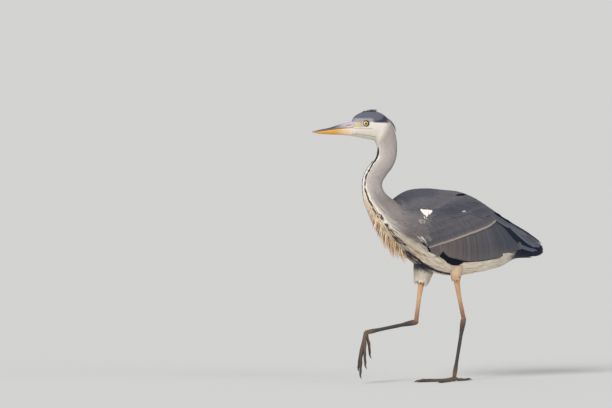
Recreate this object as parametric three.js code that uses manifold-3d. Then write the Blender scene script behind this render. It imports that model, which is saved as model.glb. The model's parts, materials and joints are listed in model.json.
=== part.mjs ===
// A life-size grey heron, stalking: the neck in an S, the left leg planted under the body and the
// right leg lifted, its shank held out ahead and its toes hanging. Millimetres, +Z up. The heron
// faces -X, its left side is -Y, and the floor is Z = 0 under the middle of its outline.
import * as THREE from "three";
import { mergeVertices } from "three/addons/utils/BufferGeometryUtils.js";
import Module from "manifold-3d";

const wasm = await Module();
wasm.setup();

// ---- Driving dimensions ----
const GAP = 0.3; // clearance between neighbouring pieces
const GAP_STATIONS = 0.03; // the same clearance, counted in stations of the coat
const BILL_TIP_X = -331;
const EYE = { x: -188.5, y: 11.2, z: 627, radius: 8 };
const COAT_SIDES = 16; // facets round the coat
const STEPS_PER_STATION = 2;
const FULLNESS = 1.12; // above 1 the coat's sections are a little fuller above the middle

const ANKLE_RADIUS = 6.8;
const SHANK_RADIUS = 4.4; // the bare lower leg, below the ankle
const TOE_RADIUS = 3.6;
const TOE_HEIGHT = 2.7; // of a planted toe's middle, so its underside is a narrow flat
const CLAW_LENGTH = 14;

// Stations of the coat from the bill's base to the tail's tip. Each has a point on the back line
// and one on the front or belly line, both in the plane of symmetry, and the half width there.
const STATIONS = [
  { at: "edge of the bill", back: [-218, 632.6], front: [-223, 597.2], half: 9 },
  { at: "forehead", back: [-209, 645], front: [-207, 595], half: 13.5 },
  { at: "brow", back: [-192, 653], front: [-190, 592], half: 17 },
  { at: "crown over the eye", back: [-172, 656], front: [-173, 589], half: 19 },
  { at: "rear crown", back: [-149, 655], front: [-158, 587], half: 20 },
  { at: "nape", back: [-130, 647], front: [-151, 582], half: 20 },
  { at: "nape bend", back: [-114.5, 633], front: [-147, 575], half: 19.5 },
  { at: "top of the neck", back: [-102, 613], front: [-145, 568], half: 19 },
  { at: "throat", back: [-95, 589], front: [-145, 560], half: 18.5 },
  { at: "upper neck", back: [-93.5, 561], front: [-147, 551], half: 19 },
  { at: "upper neck, lower end", back: [-98, 538], front: [-152, 541], half: 19.5 },
  { at: "above the crook", back: [-108, 519], front: [-167, 528], half: 20 },
  { at: "crook of the neck", back: [-124, 502], front: [-183, 504], half: 20.5 },
  { at: "foremost neck", back: [-137, 482], front: [-188, 482], half: 21 },
  { at: "lower neck", back: [-131, 463], front: [-186, 459], half: 23 },
  { at: "neck base, upper", back: [-115, 449], front: [-180, 434], half: 27 },
  { at: "neck base, lower", back: [-101, 440], front: [-166, 407], half: 34 },
  { at: "hollow between neck and back", back: [-93, 434], front: [-149, 379], half: 44 },
  { at: "fore edge of the mantle", back: [-84, 443.5], front: [-126, 353], half: 55 },
  { at: "shoulders", back: [-69, 457], front: [-98, 329], half: 65 },
  { at: "breast", back: [-44, 467], front: [-61, 305], half: 73 },
  { at: "middle of the mantle", back: [-4, 469], front: [-18, 277], half: 78 },
  { at: "belly before the legs", back: [42, 465], front: [33, 260], half: 80 },
  { at: "belly at the legs", back: [84, 460], front: [85, 256], half: 78 },
  { at: "behind the legs", back: [125, 445], front: [130, 261], half: 71 },
  { at: "vent", back: [165, 423], front: [170, 267], half: 61 },
  { at: "tail base", back: [205, 400], front: [210, 277], half: 50 },
  { at: "tail", back: [245, 379], front: [247, 293], half: 41 },
  { at: "tail, middle", back: [282, 360], front: [284, 295], half: 34 },
  { at: "tail end", back: [313, 341], front: [314, 295.5], half: 26 },
  { at: "tail tip", back: [331, 323], front: [331, 301], half: 15 },
];
const NAPE_CUT = 6.5;
const CROOK_CUT = 12.5;
const NECK_CUT = 17.3;
const TAIL_CUT = 25;
const COAT_END = STATIONS.length - 1;

// How far down each station the folded wing starts and ends, as shares of the way from back to
// belly, at a few stations; between them the edges run straight.
const WING_TOP = [[19.3, 0.42], [19.8, 0.26], [21.5, 0.13], [23, 0.05], [29.4, 0.04]];
const WING_FOOT = [[19.3, 0.62], [20, 0.86], [22, 0.87], [23.5, 0.85], [25, 0.8], [26, 0.8], [29.4, 0.87]];
const WING_THICKNESS = [[19.3, 9], [21, 14], [25, 13], [29.4, 8]];
const WING_START = 19.3;
const WING_END = 29.4;
const WING_STEPS = 16;
const WING_ROWS = 6;

// The legs: where the thigh's feathers end, the ankle, and the joint where the toes part.
const LEFT_LEG = {
  hip: [64, -26, 312], featherEnd: [58, -33, 249], ankle: [88, -22, 152], toeJoint: [70, -8, 10],
};
const RIGHT_LEG = {
  hip: [20, 34, 315], featherEnd: [-1, 30, 242], ankle: [-21, 22, 145], toeJoint: [-164, 24, 123],
};
const LEFT_THIGH_RADII = [22, 16, 10.5]; // slim: most of it is hidden in the flank
const RIGHT_THIGH_RADII = [28, 25, 18];
const SHIN_RADII = [10.4, 7.2, 5.6, 4.9, 5.2];
const LEG_FLATNESS = 0.86; // width of the bare leg against its depth, front to back
const TOES = [
  { name: "middle", length: 98, spread: 4 },
  { name: "inner", length: 74, spread: 34 },
  { name: "outer", length: 82, spread: -33 },
  { name: "hind", length: 50, spread: 166 },
];
const TOE_TAPER = [1.25, 1, 0.95, 0.85]; // toe radii from joint to claw, in toe radii
const CLAW_RADII = [2.5, 1.6, 0.5];
const HUB_RADIUS = 5.4; // the knob the toes part from
const HUB_DROP = 4; // its middle below the end of the shank

// ---- Small helpers ----
const clamp = (value, low, high) => Math.min(high, Math.max(low, value));
const mix = (a, b, share) => a + (b - a) * share;

// A smooth curve through evenly spaced values; t counts the values (Catmull-Rom).
function smooth(values, t) {
  const i = clamp(Math.floor(t), 0, values.length - 2);
  const u = t - i;
  const [a, b, c, d] = [i - 1, i, i + 1, i + 2].map((k) => values[clamp(k, 0, values.length - 1)]);
  const linear = c - a;
  const square = 2 * a - 5 * b + 4 * c - d;
  const cube = 3 * b - a - 3 * c + d;
  return b + 0.5 * u * (linear + u * (square + u * cube));
}

// Straight lines through [place, value] pairs; beyond the last pair the value stays.
function straight(pairs, place) {
  const last = pairs.length - 1;
  const next = pairs.findIndex(([p]) => p > place);
  const i = next < 0 ? last : Math.max(next, 1);
  const [start, end] = [pairs[i - 1], pairs[i]];
  return mix(start[1], end[1], clamp((place - start[0]) / (end[0] - start[0]), 0, 1));
}

// A closed solid through rings of equally many points, with a fan at each end.
function loft(rings) {
  const n = rings[0].length;
  const points = rings.flat();
  const middle = (ring) => ring.reduce((sum, p) => sum.add(p), new THREE.Vector3()).divideScalar(n);
  points.push(middle(rings[0]), middle(rings[rings.length - 1]));
  const first = points.length - 2;
  const last = points.length - 1;
  const faces = [];
  for (let r = 0; r + 1 < rings.length; r++) {
    for (let k = 0; k < n; k++) {
      const a = r * n + k;
      const b = r * n + ((k + 1) % n);
      faces.push(a, b, b + n, a, b + n, a + n);
    }
  }
  for (let k = 0; k < n; k++) {
    const next = (k + 1) % n;
    const end = (rings.length - 1) * n;
    faces.push(first, next, k, last, end + k, end + next);
  }
  const geometry = new THREE.BufferGeometry().setFromPoints(points);
  geometry.setIndex(faces);
  return solidFrom(geometry);
}

// A three.js geometry as a solid, turned right side out if its faces point in.
function solidFrom(geometry) {
  const bare = geometry.clone();
  bare.deleteAttribute("normal");
  bare.deleteAttribute("uv");
  const merged = mergeVertices(bare, 1e-4);
  const vertProperties = new Float32Array(merged.getAttribute("position").array);
  const triVerts = new Uint32Array(merged.index.array);
  const made = new wasm.Manifold(new wasm.Mesh({ numProp: 3, vertProperties, triVerts }));
  if (made.volume() > 0) return made;
  const turned = triVerts.map((_, i) => triVerts[i - (i % 3) + (2 - (i % 3))]);
  return new wasm.Manifold(new wasm.Mesh({ numProp: 3, vertProperties, triVerts: turned }));
}

// A solid back as a three.js geometry.
function geometryFrom(solid) {
  const mesh = solid.getMesh();
  const geometry = new THREE.BufferGeometry();
  const positions = new Float32Array(mesh.numVert * 3);
  for (let i = 0; i < mesh.numVert; i++) {
    positions.set(mesh.vertProperties.subarray(i * mesh.numProp, i * mesh.numProp + 3), i * 3);
  }
  geometry.setAttribute("position", new THREE.BufferAttribute(positions, 3));
  geometry.setIndex(new THREE.BufferAttribute(mesh.triVerts, 1));
  return geometry;
}

// The largest body of a solid that a cut may have left with crumbs.
function largest(solid) {
  return solid.decompose().reduce((best, body) => (body.volume() > best.volume() ? body : best));
}

const join = (solids) => solids.reduce((sum, solid) => sum.add(solid));

// ---- The coat: one closed form from bill to tail, the outline of the feathers ----
function coatPoint(t, angle, grow = 0) {
  const column = (key, axis) => STATIONS.map((s) => s[key][axis]);
  const back = new THREE.Vector3(smooth(column("back", 0), t), 0, smooth(column("back", 1), t));
  const front = new THREE.Vector3(smooth(column("front", 0), t), 0, smooth(column("front", 1), t));
  const half = smooth(STATIONS.map((s) => s.half), t) + grow;
  const down = front.clone().sub(back).normalize();
  back.addScaledVector(down, -grow);
  front.addScaledVector(down, grow);
  const share = ((1 - Math.cos(angle)) / 2) ** FULLNESS;
  const point = back.lerp(front, share);
  point.y = -half * Math.sin(angle);
  return point;
}

// Every piece cut from the coat takes its rings from one grid, so that their facets agree.
function coatRing(t, grow) {
  const places = Array.from({ length: COAT_SIDES }, (_, k) => (2 * Math.PI * k) / COAT_SIDES);
  const step = 1 / STEPS_PER_STATION;
  const before = Math.floor(t / step) * step;
  const after = Math.min(before + step, COAT_END);
  const share = after > before ? (t - before) / step : 0;
  return places.map((angle) => coatPoint(before, angle, grow).lerp(coatPoint(after, angle, grow), share));
}

function coat(start, end, grow = 0) {
  const inside = Array.from({ length: COAT_END * STEPS_PER_STATION + 1 }, (_, i) => i / STEPS_PER_STATION);
  const places = [start, ...inside.filter((t) => t > start && t < end), end];
  return loft(places.map((t) => coatRing(t, grow)));
}

// The angle round a section whose share of the way from back to belly is given.
const angleAt = (share) => Math.acos(1 - 2 * share ** (1 / FULLNESS));

// The coat's outward normal on the left side, from its own slopes.
function coatNormal(t, angle) {
  const step = 0.01;
  const p = coatPoint(t, angle);
  const along = coatPoint(Math.min(t + step, COAT_END), angle).sub(coatPoint(t - step, angle));
  const round = coatPoint(t, angle + step).sub(p);
  const normal = along.cross(round).normalize();
  return normal.y > 0 ? normal.negate() : normal;
}

// A folded left wing as a block standing through the coat's surface. The wing is what it shares
// with the coat; the same block a little larger makes the room for it in the trunk and tail.
function wingBlock(grow) {
  const outside = 10; // how far the block stands out of the coat
  const edgeGap = 0.01; // clearance along the wing's edges, as an angle
  const underGap = grow * 1.3; // a little more below, where the facets of wing and coat differ
  const evenly = (from, to, count) => Array.from({ length: count + 1 }, (_, i) => mix(from, to, i / count));
  const widened = (values, by) => (grow > 0 ? [values[0] - by, ...values, values.at(-1) + by] : values);
  const rings = widened(evenly(WING_START, WING_END, WING_STEPS), GAP_STATIONS).map((t) => {
    const top = angleAt(straight(WING_TOP, t));
    const foot = angleAt(straight(WING_FOOT, t));
    const depth = straight(WING_THICKNESS, t) + underGap;
    const place = (angle, out) => coatPoint(t, angle).addScaledVector(coatNormal(t, angle), out);
    const angles = widened(evenly(top, foot, WING_ROWS), edgeGap);
    const outer = angles.map((angle) => place(angle, outside));
    const inner = angles.map((angle) => place(angle, -depth));
    return [...outer, ...inner.reverse()];
  });
  return loft(rings);
}

const mirrored = (solid) => solid.mirror([0, 1, 0]);

// ---- The bill: two mandibles that meet along the mouth line ----
const BILL = [
  { x: BILL_TIP_X, culmen: 608.4, mouth: 607.4, chin: 606.4, half: 0.8 },
  { x: -309, culmen: 612.8, mouth: 609, chin: 603, half: 2.8 },
  { x: -280, culmen: 617.9, mouth: 612.2, chin: 601.2, half: 4.8 },
  { x: -252, culmen: 625.2, mouth: 614.8, chin: 600.2, half: 6.8 },
  { x: -220, culmen: 632.6, mouth: 616.4, chin: 597.6, half: 9 },
];

function mandible(upper) {
  const rings = [];
  const steps = 11;
  const arc = 6; // facets round each half
  const lean = -5 / 35; // the bill's base slants as the coat's first station does
  const base = BILL.at(-1);
  for (let i = 0; i <= steps; i++) {
    const t = ((BILL.length - 1) * i) / steps;
    const column = (key) => smooth(BILL.map((s) => s[key]), t);
    const edge = column("mouth") + (upper ? GAP / 2 : -GAP / 2);
    const far = upper ? column("culmen") : column("chin");
    const slant = (z) => column("x") - GAP + (i / steps) * lean * (base.culmen - z);
    const ring = [];
    for (let k = 0; k <= arc; k++) {
      const angle = (Math.PI * k) / arc;
      const z = mix(edge, far, Math.sin(angle) ** 0.75);
      ring.push(new THREE.Vector3(slant(z), column("half") * Math.cos(angle), z));
    }
    rings.push(ring);
  }
  return loft(rings);
}

// ---- Tufts that stand out of the outline: a wedge between a root line and a tip line ----
function wedge(rows) {
  const rings = rows.map(({ root, tip, rootHalf, tipHalf }) => {
    const [rx, rz] = root;
    const [tx, tz] = tip;
    return [
      new THREE.Vector3(rx, -rootHalf, rz),
      new THREE.Vector3(rx, rootHalf, rz),
      new THREE.Vector3(mix(rx, tx, 0.7), mix(rootHalf, tipHalf, 0.5), mix(rz, tz, 0.7)),
      new THREE.Vector3(tx, tipHalf, tz),
      new THREE.Vector3(tx, -tipHalf, tz),
      new THREE.Vector3(mix(rx, tx, 0.7), -mix(rootHalf, tipHalf, 0.5), mix(rz, tz, 0.7)),
    ];
  });
  return loft(rings);
}

// Long plumes that hang from the foot of the neck, and the short raised crest.
const PLUMES = [
  { root: [-155, 410], tip: [-170, 406], rootHalf: 8, tipHalf: 3 },
  { root: [-136, 380], tip: [-158, 370], rootHalf: 14, tipHalf: 4 },
  { root: [-114, 358], tip: [-138, 336], rootHalf: 17, tipHalf: 5 },
  { root: [-92, 339], tip: [-116, 310], rootHalf: 18, tipHalf: 5 },
  { root: [-72, 323], tip: [-90, 291], rootHalf: 16, tipHalf: 4 },
  { root: [-56, 315], tip: [-66, 285], rootHalf: 12, tipHalf: 3 },
  { root: [-48, 307], tip: [-50, 293], rootHalf: 8, tipHalf: 3 },
];
const CREST = [
  { root: [-203, 641], tip: [-203, 650.5], rootHalf: 6, tipHalf: 2 },
  { root: [-193, 644], tip: [-193, 655.5], rootHalf: 7, tipHalf: 2.5 },
  { root: [-180, 647], tip: [-180, 662], rootHalf: 8, tipHalf: 2.5 },
  { root: [-163, 648], tip: [-161, 664], rootHalf: 7, tipHalf: 2.5 },
  { root: [-157, 651], tip: [-149, 664.5], rootHalf: 5, tipHalf: 1.5 },
];

// ---- Limbs: a round bar whose radius changes along a smooth path ----
function limb(path, radii, { sides = 10, steps = 10, flat = 1, across = [0, 1, 0] } = {}) {
  const curve = new THREE.CatmullRomCurve3(path.map((p) => new THREE.Vector3(...p)));
  const rings = [];
  for (let i = 0; i <= steps; i++) {
    const share = i / steps;
    const centre = curve.getPointAt(share);
    const tangent = curve.getTangentAt(share);
    const side = new THREE.Vector3(...across);
    side.addScaledVector(tangent, -side.dot(tangent)).normalize();
    const front = new THREE.Vector3().crossVectors(tangent, side);
    const radius = smooth(radii, share * (radii.length - 1));
    const ring = [];
    for (let k = 0; k < sides; k++) {
      const angle = (2 * Math.PI * (k + 0.5)) / sides;
      const point = centre.clone().addScaledVector(side, radius * flat * Math.cos(angle));
      ring.push(point.addScaledVector(front, radius * Math.sin(angle)));
    }
    rings.push(ring);
  }
  return loft(rings);
}

const between = (a, b, share) => a.map((value, i) => mix(value, b[i], share));
const distance = (a, b) => Math.hypot(...a.map((value, i) => value - b[i]));

// A point that many millimetres from a towards b.
const towards = (a, b, reach) => between(a, b, reach / distance(a, b));

function thigh({ hip, featherEnd }, radii, grow = 0) {
  const end = towards(featherEnd, hip, -grow);
  const grown = radii.map((radius) => radius + grow);
  return limb([hip, between(hip, end, 0.5), end], grown, { sides: 12, steps: 6 });
}

function shin({ featherEnd, ankle }) {
  const end = towards(ankle, featherEnd, ANKLE_RADIUS);
  const path = [featherEnd, between(featherEnd, end, 0.5), end];
  return limb(path, SHIN_RADII, { sides: 8, steps: 7, flat: LEG_FLATNESS });
}

function shank({ featherEnd, ankle, toeJoint }) {
  const start = towards(ankle, featherEnd, ANKLE_RADIUS - GAP);
  const bend = towards(ankle, toeJoint, ANKLE_RADIUS);
  const path = [start, ankle, bend, between(ankle, toeJoint, 0.5), toeJoint];
  const r = SHANK_RADIUS;
  const radii = [5.1, ANKLE_RADIUS, 5.8, r, r, r * 0.95, r * 0.95, r, r * 1.25, r * 1.1];
  return limb(path, radii, { sides: 8, steps: 13, flat: LEG_FLATNESS });
}

const toeAlong = (path) => limb(path, TOE_TAPER.map((share) => share * TOE_RADIUS), { sides: 8, steps: 6 });
const clawAlong = (path) => limb(path, CLAW_RADII, { sides: 6, steps: 4 });

// The planted foot: toes flat on the floor, spread round the joint. Spread turns a toe from
// straight ahead (-X) towards the inner side, which is +Y on the left foot.
function plantedToe({ toeJoint: [x, y] }, { length, spread }) {
  const heading = (spread * Math.PI) / 180;
  const ahead = (reach, z) => [x - reach * Math.cos(heading), y + reach * Math.sin(heading), z];
  const flat = [30, length * 0.7, length].map((reach) => ahead(reach, TOE_HEIGHT));
  const toe = toeAlong([ahead(2, 6.5), ahead(16, 4.2), ...flat]);
  const tip = [
    ahead(length + GAP, TOE_HEIGHT),
    ahead(length + CLAW_LENGTH * 0.6, 2.8),
    ahead(length + CLAW_LENGTH, 0.9),
  ];
  return { toe, claw: clawAlong(tip) };
}

// The lifted foot: toes hang from the joint, drawn together, the hind toe trailing.
function hangingToe({ toeJoint: [x, y, z] }, { name, length, spread }) {
  const hind = name === "hind";
  const aside = hind ? 2 : -spread * 0.5;
  const forward = hind ? -22 : 16 - Math.abs(spread) * 0.1;
  const reach = (share, far) => [
    x - forward * Math.sin((share * Math.PI) / 2) * (far / 92),
    y + aside * share * (far / 92),
    z - far * share,
  ];
  const path = [0.03, 0.3, 0.65, 1].map((share) => reach(share, length));
  const [, , before, end] = path;
  const on = (far) => towards(end, before, -far);
  const curl = ([px, py, pz], back) => [px + back, py, pz];
  const tip = [on(GAP), curl(on(CLAW_LENGTH * 0.55), 1), curl(on(CLAW_LENGTH), 4)];
  return { toe: toeAlong(path), claw: clawAlong(tip) };
}

// ---- Assembly ----
const heron = new THREE.Group();
const COLOURS = {
  slate: { color: 0x62636d, roughness: 0.85 },
  neck: { color: 0xa1989b, roughness: 0.85 },
  crown: { color: 0x4b5262, roughness: 0.8 },
  plume: { color: 0xc8ab84, roughness: 0.85 },
  downy: { color: 0xcfc4b2, roughness: 0.9 },
  upperBill: { color: 0x5c5560, roughness: 0.4 },
  lowerBill: { color: 0xdba53f, roughness: 0.4 },
  iris: { color: 0xd9c05a, roughness: 0.1 },
  shin: { color: 0xc99a70, roughness: 0.6 },
  shank: { color: 0x5c4a40, roughness: 0.6 },
  claw: { color: 0x2b2725, roughness: 0.4 },
};

function add(name, solid, finish) {
  const mesh = new THREE.Mesh(geometryFrom(largest(solid)), new THREE.MeshStandardMaterial(COLOURS[finish]));
  mesh.name = name;
  heron.add(mesh);
}

const wing = wingBlock(0).intersect(coat(WING_START - 1, COAT_END));
const wingRoom = wingBlock(GAP);
const wings = wingRoom.add(mirrored(wingRoom));
const coatPart = (start, end) => coat(start + GAP_STATIONS, end - GAP_STATIONS);
const sphere = (radius, side) =>
  solidFrom(new THREE.SphereGeometry(radius, 12, 8)).translate([EYE.x, side * EYE.y, EYE.z]);
const wholeCoat = coat(0, COAT_END, GAP);

const head = coatPart(0, NAPE_CUT).subtract(sphere(EYE.radius + GAP, 1).add(sphere(EYE.radius + GAP, -1)));
add("head", head, "neck");
add("crest", wedge(CREST).subtract(wholeCoat), "crown");
add("bill_upper", mandible(true), "upperBill");
add("bill_lower", mandible(false), "lowerBill");
add("eye_left", sphere(EYE.radius, -1), "iris");
add("eye_right", sphere(EYE.radius, 1), "iris");
add("neck_upper", coatPart(NAPE_CUT, CROOK_CUT), "neck");
add("neck_lower", coatPart(CROOK_CUT, NECK_CUT), "neck");
add("breast_plumes", wedge(PLUMES).subtract(wholeCoat), "plume");
add("trunk", coatPart(NECK_CUT, TAIL_CUT).subtract(wings), "slate");
add("tail", coatPart(TAIL_CUT, COAT_END).subtract(wings), "slate");
add("wing_left", wing, "slate");
add("wing_right", mirrored(wing), "slate");

const floor = solidFrom(new THREE.BoxGeometry(1000, 1000, 100)).translate([0, 0, -50]);
const LEGS = [
  { side: "left", leg: LEFT_LEG, thighRadii: LEFT_THIGH_RADII, makeToe: plantedToe },
  { side: "right", leg: RIGHT_LEG, thighRadii: RIGHT_THIGH_RADII, makeToe: hangingToe },
];
const hubAt = ([x, y, z], radius) =>
  solidFrom(new THREE.SphereGeometry(radius, 10, 6)).translate([x, y, z - HUB_DROP]);
for (const { side, leg, thighRadii, makeToe } of LEGS) {
  add(`thigh_${side}`, thigh(leg, thighRadii).subtract(wholeCoat), "downy");
  add(`shin_${side}`, shin(leg).subtract(thigh(leg, thighRadii, GAP)), "shin");
  const toes = TOES.map((toe) => ({ name: toe.name, ...makeToe(leg, toe) }));
  const foot = join([hubAt(leg.toeJoint, HUB_RADIUS), ...toes.map(({ toe }) => toe)]).subtract(floor);
  const room = hubAt(leg.toeJoint, HUB_RADIUS + GAP);
  add(`foot_${side}`, foot, "shank");
  add(`shank_${side}`, shank(leg).subtract(join([room, foot])), "shank");
  for (const { name, claw } of toes) {
    add(`claw_${name}_${side}`, claw.subtract(floor).subtract(foot), "claw");
  }
}

export default heron;
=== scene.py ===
# %% [markdown]
# # A grey heron, stalking
#
# This lesson builds a life-size grey heron: a still bird with its neck in an S, one leg planted and the
# other lifted in mid-step. A feathered animal can be carved, sculpted or covered with hair strands.
# Here every shape is worked out with numpy as a function of two parameters, and every feather is a thin
# closed vane of real mesh, so that the bird looks right from all sides and survives an export.
#
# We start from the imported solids. They fix the size and the place of everything that follows.

# %% Load the fixed frame
import json

import bpy
import numpy as np
from mathutils import Matrix

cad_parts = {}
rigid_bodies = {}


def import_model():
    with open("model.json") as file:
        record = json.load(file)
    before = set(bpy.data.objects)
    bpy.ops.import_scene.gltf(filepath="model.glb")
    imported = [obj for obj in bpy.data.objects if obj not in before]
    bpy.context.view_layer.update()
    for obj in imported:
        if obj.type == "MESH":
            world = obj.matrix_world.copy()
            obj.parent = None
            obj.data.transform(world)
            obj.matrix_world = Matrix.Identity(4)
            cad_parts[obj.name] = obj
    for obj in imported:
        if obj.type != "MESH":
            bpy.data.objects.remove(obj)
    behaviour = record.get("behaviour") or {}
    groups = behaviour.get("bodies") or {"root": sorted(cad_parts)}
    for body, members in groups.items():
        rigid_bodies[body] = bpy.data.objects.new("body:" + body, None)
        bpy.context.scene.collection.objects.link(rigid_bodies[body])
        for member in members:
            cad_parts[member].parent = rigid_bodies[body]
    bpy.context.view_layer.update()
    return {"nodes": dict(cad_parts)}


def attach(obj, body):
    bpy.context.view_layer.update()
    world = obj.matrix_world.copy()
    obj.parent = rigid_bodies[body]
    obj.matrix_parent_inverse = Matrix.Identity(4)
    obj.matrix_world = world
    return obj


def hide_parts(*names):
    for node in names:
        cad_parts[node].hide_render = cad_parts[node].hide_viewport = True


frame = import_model()
MM = 0.001
print("nodes in the frame:", len(frame["nodes"]))

# %% [markdown]
# ## The view
#
# The heron is seen from its left front, a little above its feet, through a long lens from far away.
# A long lens flattens the perspective, so that bill, neck and tail keep their true lengths.
# The camera's axes are worked out one by one: where it looks, what is right and what is up.

# %% Place the camera
VIEW_TURN = np.radians(-32.0)
VIEW_RISE = np.radians(1.5)
VIEW_DISTANCE = 14.0
VIEW_WIDTH = 1.481
AIM_RIGHT = -0.2958
AIM_UP = 0.4308

view_right = np.array([np.cos(VIEW_TURN), np.sin(VIEW_TURN), 0.0])
view_back = np.array([
    np.sin(VIEW_TURN) * np.cos(VIEW_RISE),
    -np.cos(VIEW_TURN) * np.cos(VIEW_RISE),
    np.sin(VIEW_RISE),
])
view_up = np.cross(view_back, view_right)
camera_data = bpy.data.cameras.new("camera")
camera_data.sensor_width = 36.0
camera_data.lens = 36.0 * VIEW_DISTANCE / VIEW_WIDTH
camera_data.clip_end = 200.0
camera = bpy.data.objects.new("camera", camera_data)
bpy.context.scene.collection.objects.link(camera)
camera_place = view_right * AIM_RIGHT + view_up * AIM_UP + view_back * VIEW_DISTANCE
camera_axes = np.column_stack([view_right, view_up, view_back, camera_place])
camera.matrix_world = Matrix(np.vstack([camera_axes, [0, 0, 0, 1]]).tolist())
bpy.context.scene.camera = camera
print("lens, mm:", round(camera_data.lens, 1), "camera at", np.round(camera_place, 2))

# %% [markdown]
# ## The studio
#
# A low, wide sun from the heron's front gives form to the neck and the wing, and a weaker one from the
# other side opens the shadows. Suns light the floor evenly, so floor and background meet without a line.
# Together with the sky they add up to about one: a colour renders about as it is written.

# %% The sky
PALE = (0.648, 0.648, 0.638, 1.0)
SKY_STRENGTH = 0.5


def add_node(tree, kind, inputs=(), **settings):
    """Adds a node with its settings. Each input is a value, or an output of another node to link."""
    node = tree.nodes.new("ShaderNode" + kind)
    for name, value in settings.items():
        setattr(node, name, value)
    for key, value in dict(inputs).items():
        if isinstance(value, bpy.types.NodeSocket):
            tree.links.new(value, node.inputs[key])
        else:
            node.inputs[key].default_value = value
    return node


bpy.context.scene.view_settings.view_transform = "Standard"
world = bpy.data.worlds.new("sky")
bpy.context.scene.world = world
world.use_nodes = True
sky = world.node_tree
sky.nodes.clear()
sky_light = add_node(sky, "Background", {"Color": (1.0, 1.0, 1.0, 1.0), "Strength": SKY_STRENGTH})
sky_seen = add_node(sky, "Background", {"Color": PALE, "Strength": 1.0})
ray = add_node(sky, "LightPath").outputs["Is Camera Ray"]
sky_mix = add_node(sky, "MixShader", {"Fac": ray, 1: sky_light.outputs[0], 2: sky_seen.outputs[0]})
add_node(sky, "OutputWorld", {"Surface": sky_mix.outputs[0]})
print("sky:", SKY_STRENGTH, "and as seen:", PALE[:3])

# %% Lamps and floor
FLOOR_COLOUR = (0.62, 0.62, 0.61, 1.0)
KEY_STRENGTH = 2.5
FILL_STRENGTH = 0.9
HALF_FLOOR = 60.0


def add_sun(name, toward, strength, softness):
    """A sun shines from the direction toward, so its -Z axis points the other way."""
    data = bpy.data.lights.new(name, "SUN")
    data.energy = strength
    data.angle = np.radians(softness)
    lamp = bpy.data.objects.new(name, data)
    bpy.context.scene.collection.objects.link(lamp)
    z = toward / np.linalg.norm(toward)
    x = np.cross([0.0, 0.0, 1.0], z)
    x = x / np.linalg.norm(x)
    axes = np.column_stack([x, np.cross(z, x), z])
    lamp.matrix_world = Matrix(axes.tolist()).to_4x4()


add_sun("key sun", -0.42 * view_right + 0.75 * view_back + 0.55 * view_up, KEY_STRENGTH, 22.0)
add_sun("fill sun", 0.8 * view_right + 0.5 * view_back + 0.35 * view_up, FILL_STRENGTH, 40.0)
floor_mesh = bpy.data.meshes.new("floor")
corners = [(x * HALF_FLOOR, y * HALF_FLOOR, 0) for x, y in ((-1, -1), (1, -1), (1, 1), (-1, 1))]
floor_mesh.from_pydata(corners, [], [(0, 1, 2, 3)])
floor = bpy.data.objects.new("floor", floor_mesh)
bpy.context.scene.collection.objects.link(floor)
floor_material = bpy.data.materials.new("pale floor")
floor_material.use_nodes = True
floor_shader = floor_material.node_tree.nodes["Principled BSDF"]
floor_shader.inputs["Base Color"].default_value = FLOOR_COLOUR
floor_shader.inputs["Roughness"].default_value = 0.95
floor_shader.inputs["Specular IOR Level"].default_value = 0.0
floor_mesh.materials.append(floor_material)
print("key, fill and sky:", KEY_STRENGTH, FILL_STRENGTH, SKY_STRENGTH)

# %% [markdown]
# ## Small tools
#
# Colours are written as they are seen, from 0 to 255, and turned into the linear light that Blender adds
# up. A soft step and a smooth curve through evenly spaced values are all the other mathematics we need.

# %% Colour and curve helpers
TURN = 2 * np.pi
ALL_ROUND = (0.0, TURN)


def light(red, green, blue):
    """A seen colour as linear light: c/12.92 below 0.04, else ((c + 0.055) / 1.055) to the power 2.4."""
    seen = np.array([red, green, blue], float) / 255
    return np.where(seen < 0.04045, seen / 12.92, ((seen + 0.055) / 1.055) ** 2.4)


def soft(low, high, value):
    """0 below low, 1 above high, and 3u^2 - 2u^3 between them."""
    u = np.clip((value - low) / (high - low), 0, 1)
    return u * u * (3 - 2 * u)


def band(low, high, edge, value):
    """1 between low and high, falling softly to 0 over the width edge on either side."""
    return soft(low - edge, low, value) * (1 - soft(high, high + edge, value))


def over(base, colour, cover):
    """Lays a colour over a base, as thick as cover says: base (1 - cover) + colour cover."""
    return base * (1 - cover[..., None]) + colour * cover[..., None]


def filled(colour, like):
    """One colour repeated over the shape of an array."""
    return np.broadcast_to(colour, np.shape(like) + (3,))


def layered(base, *layers):
    """A base with (colour, cover) pairs laid over it, one after another."""
    tint = base
    for colour, cover in layers:
        tint = over(tint, colour, cover)
    return tint


def smooth(values, t):
    """The Catmull-Rom curve through evenly spaced values, with t counting the values."""
    values = np.asarray(values, float)
    i = np.clip(np.floor(t).astype(int), 0, len(values) - 2)
    u = t - i
    a, b, c, d = (values[np.clip(i + k, 0, len(values) - 1)] for k in (-1, 0, 1, 2))
    return b + 0.5 * u * ((c - a) + u * ((2 * a - 5 * b + 4 * c - d) + u * (3 * b - a - 3 * c + d)))


def unit(vectors):
    """Each vector divided by its own length."""
    return vectors / np.maximum(np.linalg.norm(vectors, axis=-1, keepdims=True), 1e-12)


def points_of(*columns):
    """Points from their coordinates; a single number is repeated for all of them."""
    return np.stack(np.broadcast_arrays(*columns), axis=-1)


def run_along(points):
    """How far each point of a line lies from its first point, measured along the line."""
    return np.concatenate([[0], np.cumsum(np.linalg.norm(np.diff(points, axis=0), axis=1))])


def grid_of(first, second):
    """Two grids of parameters: first changes from row to row, second along a row."""
    return np.meshgrid(first, second, indexing="ij")


print("mid grey as linear light:", np.round(light(128, 128, 128), 3))

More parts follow.
